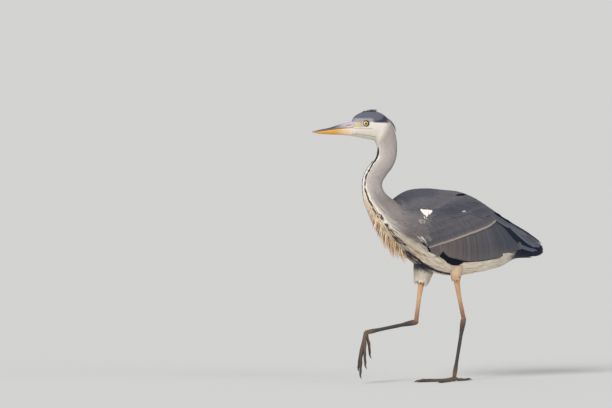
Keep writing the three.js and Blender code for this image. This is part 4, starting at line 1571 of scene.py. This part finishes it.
def streaky(cover):
    """A colour rule: feathers of buff and brown are strewn over the front of the lower neck, and grey
    ones over the sides of the breast."""
    def rule(path_t, path_angle, tint, rng):
        down = share_down(path_angle[:, 0])
        t = path_t[:, 0]
        here = soft(0.78, 0.9, down) * soft(13.5, 16, t)
        pick = rng.uniform(0, 1, len(tint))
        return layered(
            tint,
            (light(104, 84, 74), cover * here * (pick < 0.2)),
            (light(232, 206, 164), cover * here * (pick > 0.6)),
            (light(150, 140, 134), 0.7 * cover * (pick > 0.82) * soft(0.5, 0.7, down) * soft(17, 19, t)),
        )
    return rule


NECK_SHAPE = {"roundness": 0.9, "thickness": 0.16, "roll": 0.04, "camber": 0.1, "options": FINE}
upper_neck = tract((4.7, 10.6), ALL_ROUND, 3.4, 1.9, neck_length, neck_width, (0.8, 0.05), 41, **NECK_SHAPE)
coat_piece("neck_feathers_upper", [upper_neck], COVERT_FINISH)
lower_neck = tract(
    (10.4, 16.4), ALL_ROUND, 4.2, 2.4, neck_length, neck_width, (1.2, 0.08), 42, colour=streaky(0.8),
    **NECK_SHAPE)

# %% Dark streaks down the neck
UPPER_ROW = [[6.2, 0.04], [8, 0.08], [9.6, 0.1], [10.6, 0.22], [11.5, 0.27], [13, 0.27], [14, 0.36],
             [15, 0.54], [16, 0.5]]
STREAK_LEAN = 0.15
LOWER_ROW = [[15.9, 0.72], [16.7, 0.66], [17.5, 0.6], [18.3, 0.46], [19, 0.5]]


def streak_row(line, count, sign, seed):
    """Dark narrow feathers in short groups along a line of (station, angle off the front)."""
    rng = np.random.default_rng(seed)
    stations, angles = np.array(line, float).T
    t = rng.uniform(stations[0], stations[-1], count)
    group = np.sin(t * 9.0 + sign)
    kept = rng.uniform(-1, 1, count) < group + np.interp(t, [9.5, 11], [0.9, 0.2])
    t, group = t[kept], group[kept]
    count = len(t)
    away = np.interp(t, stations, angles) + rng.normal(0, 0.045, count)
    path_t, path_angle = walk(coat, t, np.pi - sign * away, rng.uniform(10, 17, count), 5, sign * STREAK_LEAN)
    brown = soft(13, 17, t) * rng.uniform(0, 1, count)
    tint = over(filled(light(38, 40, 54), brown), light(92, 72, 64), brown)
    return lying(
        coat, path_t, path_angle, rng.uniform(0.8, 1.5, count), (0.8, -0.25), "body", tint, rng,
        {"jitter": 0.12, "deep": 0.0}, roundness=1.0, thickness=0.2)


streaks = [
    streak_row(line, count, sign, seed)
    for line, count, sign, seed in (
        (UPPER_ROW, 330, 1, 51), (UPPER_ROW, 330, -1, 52), (LOWER_ROW, 90, 1, 53), (LOWER_ROW, 90, -1, 54))
]
coat_piece("neck_feathers_lower", [lower_neck] + streaks, COVERT_FINISH)

# %% [markdown]
# ## Body feathers
#
# The mantle, breast, flanks and belly carry broad rounded feathers that grow towards the tail. Under
# the wing they lie a few millimetres deeper, to leave room for the wing's own layers. The tables of
# the wing's upper and lower edge are those of the solids. The trunk's feathers are parted into two
# pieces, front and rear, because a piece should stay under 200,000 triangles.

# %% Feathers of the trunk
WING_TOP = np.array([[19.3, 0.42], [19.8, 0.26], [21.5, 0.13], [23, 0.05], [29.4, 0.04]])
WING_FOOT = np.array([[19.3, 0.62], [20, 0.86], [22, 0.87], [23.5, 0.85], [25, 0.8], [26, 0.8], [29.4, 0.87]])


def under_wing(t, angle):
    """1 where the folded wing covers the body, 0 outside it."""
    down = share_down(angle)
    top, foot = np.interp(t, *WING_TOP.T), np.interp(t, *WING_FOOT.T)
    inside = soft(top + 0.02, top + 0.08, down) * soft(foot + 0.02, foot - 0.04, down)
    return inside * soft(19.2, 20.0, t)


body_length = by_station([16, 18, 20, 24, 27, 30], [27, 32, 38, 42, 44, 30])


def body_width(t, angle):
    """Half width: narrow and hair-like on the breast and belly, broad on the back."""
    broad = np.interp(t, [16, 18, 20, 25, 30], [3.0, 4.4, 6.2, 7.0, 6.0])
    return broad * (1 - 0.45 * soft(0.6, 0.85, share_down(angle)))


def body_root(t, angle):
    """Depth of the roots: 2 to 3 mm, and 4 mm more under the wing."""
    return np.interp(t, [16, 20], [2.2, 3.2]) + 4.0 * under_wing(t, angle)


def body_tip(t, angle):
    """Depth of the tips: at the surface, but nearly 5 mm down under the wing and 4 just below its edge."""
    down = share_down(angle)
    foot = np.interp(t, *WING_FOOT.T)
    ledge = soft(foot + 0.10, foot + 0.01, down) * soft(0.5, 0.6, down) * soft(19.4, 20.6, t)
    return 0.1 + 4.6 * np.maximum(under_wing(t, angle), ledge * 0.8)


breast = tract(
    (16.0, 20.0), ALL_ROUND, 6.0, 3.9, body_length, body_width, (body_root, body_tip), 61, columns=3, steps=6,
    roundness=0.75, thickness=0.2, colour=streaky(0.6), options={"jitter": 0.035, "deep": 0.1},
)
coat_piece("breast_feathers", [breast], COVERT_FINISH)


def rows_between(low, high):
    """A rule that keeps the feathers whose roots lie between two stations."""
    return lambda path_t, path_angle: (path_t[:, 0] >= low) & (path_t[:, 0] < high)


MIDDLE_OF_TRUNK = 23.3
for name, low, high in (("front", 0, MIDDLE_OF_TRUNK), ("rear", MIDDLE_OF_TRUNK, LAST)):
    trunk = tract(
        (19.9, 27.4), ALL_ROUND, 8.5, 5.6, body_length, body_width, (body_root, body_tip), 62, columns=5,
        steps=7, keep=rows_between(low, high), roundness=0.7, thickness=0.25,
        options={"jitter": 0.06, "deep": 0.12},
    )
    coat_piece("trunk_feathers_" + name, [trunk], COVERT_FINISH)

# %% [markdown]
# ## Plumes
#
# From the foot of the neck hang long narrow plumes, white to buff with dark streaks. They leave the
# body, so they follow free curves: along the breast, a little away from it, and then down in a fringe.

# %% Breast plumes
PLUME_LINE = np.array([
    # root x, z    tip x, z    half width of the bib
    [-163, 424, -173, 404, 8],
    [-152, 402, -160, 370, 14],
    [-138, 380, -141, 340, 18],
    [-120, 360, -119, 313, 20],
    [-100, 344, -93, 293, 18],
    [-80, 332, -68, 286, 14],
])
PLUME_COUNT = 420
plume_rng = np.random.default_rng(71)
plume_q = plume_rng.uniform(0, 5, PLUME_COUNT)
plume_aside = plume_rng.normal(0, 0.5, PLUME_COUNT).clip(-1, 1)
plume_sway = plume_rng.normal(0, 1, (PLUME_COUNT, 3))
plume_clump = np.round(plume_q * 4.4) / 4.4
root_x, root_z, _, _, bib = (smooth(column, plume_q) for column in PLUME_LINE.T)
tip_x, tip_z = (smooth(column, plume_q + 0.7 * (plume_clump - plume_q)) for column in PLUME_LINE.T[2:4])
plume_reach = plume_rng.uniform(0.45, 1.0, PLUME_COUNT) * (0.93 + 0.1 * np.sin(plume_clump * 23))
back_off = plume_rng.uniform(0, 10, PLUME_COUNT)
plume_start = points_of(root_x + back_off * 0.9, plume_aside * bib, root_z + 12 - back_off * 0.3)
plume_finish = plume_sway * [2.5, 2.0, 1.5] + points_of(
    root_x + (tip_x - root_x) * plume_reach + back_off * 0.8,
    plume_aside * bib * 0.55,
    root_z + (tip_z - root_z) * plume_reach,
)
plume_bend = points_of(-2.5 + 1.2 * plume_sway[:, 1], plume_aside * 1.5, plume_sway[:, 2])
plume_facing = points_of(-1.0, plume_aside * 2.2, -0.3)
PLUME_COLOURS = np.array([
    light(226, 204, 170), light(206, 164, 120), light(232, 222, 206), light(112, 88, 78)])
plume_pick = plume_rng.choice(4, PLUME_COUNT, p=[0.38, 0.27, 0.23, 0.12])
plume_tint = over(PLUME_COLOURS[plume_pick], light(200, 146, 98), 0.45 * plume_reach * soft(1.5, 4, plume_q))
plumes = hanging(
    plume_start, plume_finish, plume_bend, plume_rng.uniform(0.9, 1.5, PLUME_COUNT), plume_tint, plume_rng,
    np.interp(plume_q, [0, 5], [15.0, 19.5]), np.pi - 0.3 * plume_aside, plume_facing, steps=9,
    jitter=0.05, deep=0.05,
)
coat_piece("plume_feathers", [plumes], COVERT_FINISH, ["breast_plumes"])

# %% [markdown]
# ## The folded wing
#
# A folded wing is a stack of fans. Lowest lie the primaries and secondaries, over them the greater
# coverts, then the median and the lesser coverts, and on top the long scapulars of the shoulder.
# Each row is given in the side view by a line of roots and a line of tips. Straight or gently bent
# paths between the lines are laid onto the coat, and rows higher up in the stack lie nearer the surface.

# %% Rows of wing feathers
WING_ROLL = 0.05


def wing_row(sign, root_line, tip_line, count, half_width, depths, tint, seed, options, bend=0.0,
             columns=5, steps=9, slack=0.8, crowd=1.6, **shape):
    """One row: feather i runs from a point of the root line to the same share of the tip line, both
    smooth curves through points given as (x, z). bend pushes the middle aside, in millimetres."""
    rng = np.random.default_rng(seed)
    share = (np.arange(count) + 0.5) / count
    start, finish = (
        points_of(*(smooth(axis, share * (len(line) - 1)) for axis in np.array(line, float).T))
        for line in (root_line, tip_line)
    )
    start = start + rng.normal(0, slack, start.shape)
    finish = finish + rng.normal(0, slack, finish.shape)
    u = shares(steps, crowd)[None, :, None]
    run = finish - start
    aside = unit(points_of(-run[:, 1], run[:, 0]))
    path = start[:, None] * (1 - u) + finish[:, None] * u + aside[:, None] * bend * 4 * u * (1 - u)
    t, angle = side_spot(path[..., 0], path[..., 1], 17.5, 30)
    if sign > 0:
        angle = TURN - angle
    tint = tint(share, rng) if callable(tint) else filled(tint, share)
    order = np.linspace(0, 0.5, count)
    return lying(
        coat, t, angle, half_width * rng.uniform(0.93, 1.07, count), (depths[0] + order, depths[1] + order),
        "body", tint, rng, options, columns, roll=-sign * WING_ROLL, **shape)


def moved(line, x, z):
    """The same line of (x, z) points, moved."""
    return [(a + x, b + z) for a, b in line]


BLUNT = {"roundness": 0.15, "crowd": 2.2}
GREY = light(74, 74, 83)
COVERT_GREY = light(84, 82, 88)
BROWN_GREY = light(104, 96, 95)
BLUE_GREY = light(70, 76, 87)
NAVY = light(18, 27, 46)
BLACK = light(5, 11, 27)
PALE_TIP = light(172, 157, 145)
PALE_LINE = [(-46, 323), (-34, 326), (-4, 336), (26, 345), (63, 356), (100, 366), (137, 377), (169, 392)]
SECONDARY_TIPS = [(-35, 319), (-11, 303), (1, 319), (20, 304), (58, 295), (86, 291), (125, 292),
                  (166, 297), (205, 299), (240, 303), (248, 315), (245, 327)]
SECONDARY_ROOTS = [(-62, 372), (-40, 388), (-18, 395), (12, 402), (38, 408), (66, 414), (98, 420),
                   (124, 422), (146, 418), (160, 412), (171, 402)]
GREATER_ROOTS = [(-74, 368), (-66, 380), (-42, 396), (-14, 408), (22, 420), (58, 430), (94, 434), (130, 432)]
SHOULDER_MOTTLE = np.stack([light(150, 142, 138), light(112, 108, 110), light(196, 186, 174)])


def secondary_rule(share, rng):
    """Brown-grey in front, blue-grey towards the tail."""
    return over(filled(BROWN_GREY, share), BLUE_GREY, soft(0.2, 0.9, share))


def mottled_rule(share, rng):
    """Front lesser coverts are mottled pale and dark, the rest plain grey."""
    picked = SHOULDER_MOTTLE[rng.integers(0, 3, len(share))]
    return over(filled(COVERT_GREY, share), picked, 0.8 * soft(0.3, 0.05, share))


print("secondaries:", len(SECONDARY_ROOTS), "places for roots and", len(SECONDARY_TIPS), "for tips")

# %% The plan of the wing
DARK = {"jitter": 0.03, "deep": 0.05, "shaft": 0.2}
EDGED = dict(DARK, fringe=light(124, 117, 116), cover=0.4, jitter=0.1)
PLAIN = {"jitter": 0.07, "deep": 0.1, "shaft": 0.12, "fringe": light(122, 119, 122), "cover": 0.25}
ENDED = dict(PLAIN, tip=PALE_TIP, tip_from=0.9)
SHAFTED = dict(PLAIN, shaft=0.3)
# Painted shadow: dark feathers just below the secondaries' tips, for the shadow under the wing's edge.
WING_EDGE_SHADOW = moved(SECONDARY_ROOTS, 0, -30)[3:-2], moved(SECONDARY_TIPS, 1, -2.2)[3:-2]
FLIGHT_ROWS = [
    # root line, tip line, count, half width, depths, colour, seed, paint, shape
    ([(176, 330), (184, 348), (194, 360)], [(292, 298), (314, 302), (324, 311)],
     9, 8.5, (5.0, 2.6), NAVY, 1, DARK, {}),
    ([(190, 362), (200, 370)], [(282, 319), (304, 315)], 6, 6.5, (4.0, 2.0), NAVY, 3, DARK, {}),
    ([(196, 336), (206, 342)], [(293, 308), (303, 313)], 3, 4.6, (3.4, 1.6), light(92, 97, 112), 2, DARK, {}),
    ([(-34, 342), (-6, 338), (20, 328), (60, 320)],
     [(3, 305), (17, 295), (33, 285), (50, 281), (62, 284), (70, 290), (92, 290)],
     26, 6.4, (5.6, 2.2), BLACK, 4, DARK, dict(BLUNT, slack=0.6)),
    # the dark row of painted shadow under the wing's edge
    (*WING_EDGE_SHADOW, 46, 7.0, (6.0, 3.0), light(40, 42, 50), 5, DARK, dict(BLUNT, slack=0.3)),
    (SECONDARY_ROOTS, SECONDARY_TIPS,
     60, 7.0, (4.6, 1.7), secondary_rule, 6, EDGED, dict(BLUNT, slack=0.3, bend=2.0)),
    (GREATER_ROOTS, PALE_LINE,
     66, 6.2, (4.0, 1.3), COVERT_GREY, 7, ENDED, dict(BLUNT, slack=0.25, bend=1.5, columns=3)),
]
LESSER_ROWS = [
    (moved(GREATER_ROOTS[: 7 - row], -4 * row - 2, 6 * row),
     moved(PALE_LINE[: 7 - row], -7 - 6 * row, 16 + 18 * row),
     44 - 4 * row, 5.0, (3.0, 1.05 - 0.12 * row), mottled_rule, 10 + row, PLAIN,
     {"columns": 3, "steps": 7, "roundness": 0.6, "thickness": 0.22})
    for row in range(4)
]
SHOULDER_ROWS = [
    ([(165, 399), (174, 405)], [(234, 333), (250, 340)],
     4, 4.4, (2.4, 0.9), NAVY, 19, DARK, {"roundness": 0.5}),
    ([(171, 408), (178, 412), (186, 410), (194, 404)], [(266, 333), (290, 322), (306, 322), (315, 327)],
     9, 7.6, (3.0, 0.7), light(84, 88, 100), 20, dict(SHAFTED, jitter=0.12), {"roundness": 0.4}),
    ([(110, 428), (130, 432), (154, 424), (174, 412)], [(206, 372), (232, 366), (254, 356), (272, 350)],
     9, 10.0, (2.8, 0.6), light(86, 88, 98), 24, SHAFTED, {"roundness": 0.5}),
    ([(30, 446), (60, 448), (96, 442), (130, 430)], [(120, 398), (146, 404), (172, 406), (192, 398)],
     18, 9.0, (2.6, 0.5), GREY, 21, PLAIN, {"bend": -3.0, "roundness": 0.6}),
    ([(-50, 432), (-30, 440), (0, 446), (40, 450)], [(34, 402), (66, 408), (100, 416), (140, 424)],
     20, 8.0, (2.4, 0.35), GREY, 22, PLAIN, {"bend": -3.0, "roundness": 0.6}),
    ([(-84, 426), (-76, 436), (-60, 446), (-34, 456)], [(-14, 424), (12, 434), (40, 443), (76, 452)],
     24, 7.0, (2.2, 0.15), light(93, 90, 95), 23, dict(PLAIN, fringe=light(122, 116, 116), cover=0.2),
     {"bend": 2.0, "roundness": 0.7}),
]


def planned_rows(sign, seed, plan):
    """All rows of a plan on one side, from the deepest to the topmost."""
    return [
        wing_row(sign, roots, tips, count, width, depths, tint, seed + number, options, **shape)
        for roots, tips, count, width, depths, tint, number, options, shape in plan
    ]


for sign, side, seed in ((-1, "left", 100), (1, "right", 200)):
    wing = planned_rows(sign, seed, FLIGHT_ROWS + LESSER_ROWS + SHOULDER_ROWS)
    coat_piece("wing_feathers_" + side, wing, FLIGHT_FINISH, ["wing_" + side])

# %% [markdown]
# ## Accents
#
# Some marks are single groups of feathers: the white patch at the bend of the wing with a few pale
# mottles below it, dark marks on the back, pale and black streaks at the wrist, and the long cream
# flank feathers that sweep back below the wing. They are short rows, made as the wing's rows are.

# %% Patches of odd feathers
MARK = {"jitter": 0.03, "deep": 0.0}
CREAM = {"jitter": 0.05, "deep": 0.08, "fringe": light(128, 116, 108), "cover": 0.35}
ODD_FEATHERS = [
    # root line, tip line, count, half width, depths, colour
    ([(-66, 425), (-50, 428), (-33, 426)], [(-58, 410), (-51, 402), (-41, 411)],
     16, 3.2, (0.8, -0.4), light(238, 229, 220)),
    ([(-60, 409), (-54, 407)], [(-57, 398), (-51, 397)], 4, 1.7, (0.9, -0.2), light(206, 197, 188)),
    ([(-76, 404), (-62, 400)], [(-66, 386), (-54, 384)], 5, 1.4, (0.9, -0.1), light(166, 158, 152)),
    ([(44, 412), (47, 408)], [(63, 416), (62, 411)], 4, 1.7, (0.9, -0.25), light(188, 184, 184)),
    ([(48, 452), (52, 454)], [(84, 452), (87, 456)], 5, 2.6, (0.4, -0.8), BLACK),
    ([(162, 412), (166, 407)], [(192, 401), (191, 396)], 5, 3.4, (0.0, -1.4), BLACK),
    ([(184, 402), (190, 396)], [(222, 385), (221, 379)], 5, 3.4, (0.0, -1.4), BLACK),
    ([(-77, 359), (-74, 356)], [(-50, 342), (-49, 340)], 3, 1.2, (0.5, -0.4), light(180, 172, 162)),
    ([(-66, 359), (-62, 356)], [(-46, 339), (-44, 336)], 3, 1.3, (0.6, -0.4), light(214, 206, 195)),
    ([(-58, 343), (-56, 341)], [(-44, 333), (-43, 331)], 3, 1.7, (0.3, -0.7), light(40, 42, 52)),
    ([(-44, 333), (-42, 331)], [(-31, 317), (-29, 317)], 4, 1.8, (0.4, -0.8), BLACK),
    ([(-84, 336), (-64, 328), (-48, 327)], [(-30, 309), (-18, 301), (-12, 302)], 14, 4.0, (2.4, 0.6), FLANK),
    ([(-66, 322), (-44, 313), (-30, 313)], [(-6, 291), (10, 285), (14, 287)], 14, 4.0, (3.2, 1.4), FLANK),
    ([(-38, 306), (-20, 299), (-8, 299)], [(24, 276), (40, 270), (48, 274)], 14, 4.0, (3.8, 2.0), FLANK),
    ([(-12, 292), (6, 283), (16, 284)], [(44, 268), (54, 264), (60, 267)], 9, 4.0, (4.2, 2.4), FLANK),
]
SMALL = {"columns": 3, "steps": 7, "roundness": 0.8, "thickness": 0.2, "slack": 1.2}
ACCENT_ROWS = [
    (*row, number, CREAM if row[5] is FLANK else MARK, SMALL) for number, row in enumerate(ODD_FEATHERS)
]
accents = planned_rows(-1, 300, ACCENT_ROWS) + planned_rows(1, 350, ACCENT_ROWS)
coat_piece("accent_feathers", accents, MARK_FINISH)

# %% [markdown]
# ## Tail and thighs
#
# The twelve real tail feathers lie folded over each other in six pairs. They stick out a little from
# under the wing tips. Rows of broad feathers close the tail's form above and below them, and softer
# coverts lie over its root. The thighs wear short loose feathers down to a hem above the bare shin.

# %% Tail feathers
tail_rng = np.random.default_rng(81)


def tail_layer(t_from, angles, half_width, depth, tint, options):
    """Long feathers from a station to the tail's end, one at each angle."""
    count = len(angles)
    ends = tail_rng.uniform(29.5, 29.9, (count, 1))
    path_t = t_from + (ends - t_from) * shares(10)[None, :]
    path_angle = np.asarray(angles, float)[:, None] + np.zeros((1, 11))
    return lying(
        coat, path_t, path_angle, np.full(count, half_width), (depth + 3.0, depth), "body",
        filled(tint, angles), tail_rng, options, 5, roundness=0.3, camber=0.03)


tail_paint = {"jitter": 0.03, "deep": 0.0, "shaft": 0.3}
top_angles, low_angles = (
    np.concatenate([left, TURN - left]) for left in (np.linspace(0.12, 1.45, 6), np.linspace(1.6, 3.05, 6)))
tail_flocks = [
    # Painted shade: the lower tail feathers are darker than the upper ones.
    tail_layer(25.6, low_angles, 8.5, 3.2, light(22, 29, 46), tail_paint),
    tail_layer(26.0, top_angles, 9.0, 3.4, light(44, 52, 70), tail_paint),
    tail_layer(26.5, top_angles, 8.0, 6.5, light(60, 65, 78), tail_paint),
    tract((25.0, 26.6), (2.15, TURN - 2.15), 7.0, 5.5, 34, 5.0, (3.0, 0.2), 82, columns=3, steps=6,
          options={"jitter": 0.04, "deep": 0.08}, roundness=0.8),
    tract((25.0, 28.4), (-0.75, 0.75), 9.0, 7.0, 40, 7.0, (3.0, 0.4), 83, columns=5, steps=6,
          options={"jitter": 0.04, "deep": 0.1}, roundness=0.5),
]
pair = np.repeat(np.arange(6), 2)
pair_side = np.tile([-1.0, 1.0], 6)
tail_flocks.append(hanging(
    points_of(250, pair_side * (2 + 1.5 * pair), 346 - 5.5 * pair),
    points_of(334.0 - 0.7 * pair, pair_side * (1.5 + 0.6 * pair), 321.5 - 3.2 * pair),
    points_of(0 * pair, 0, 1.5), 12.0 - 0.4 * pair, filled(light(40, 47, 64), pair), tail_rng,
    28.0 + 0 * pair, 0.3 * pair, points_of(0.3, pair_side * 0.12, 1),
    columns=5, steps=8, thickness=0.5, roundness=0.35, camber=0.1, shaft=0.3, deep=0.0,
))
coat_piece("tail_feathers", tail_flocks, FLIGHT_FINISH)

# %% Thigh feathers
LOOSE = {"left": (1.15, 0.6), "right": (1.4, 3.2)}
for side, seed in (("left", 91), ("right", 92)):
    rng = np.random.default_rng(seed)
    surface = thigh_surface(side)
    t, angle = scatter(surface, (0.0, 0.95), ALL_ROUND, 3.4, 2.2, rng)
    longest, loosest = LOOSE[side]
    length = np.interp(t, [0, 0.7, 1], [22, 15, 9.5]) * rng.uniform(0.7, longest, len(t))
    path_t, path_angle = walk(surface, t, angle, length, 5, end=1.16)
    tint = thigh_tint(side, path_t[:, 2], path_angle[:, 2])
    raised = soft(0.5, 1.0, t) * rng.uniform(0, loosest, len(t))
    thigh = lying(
        surface, path_t, path_angle, np.interp(t, [0, 1], [2.6, 1.3]), (2.0, 0.1 - raised), side, tint,
        rng, {"jitter": 0.05, "deep": 0.08}, roundness=0.9, end=1.16, thickness=0.18)
    coat_piece("thigh_feathers_" + side, [thigh], COVERT_FINISH)
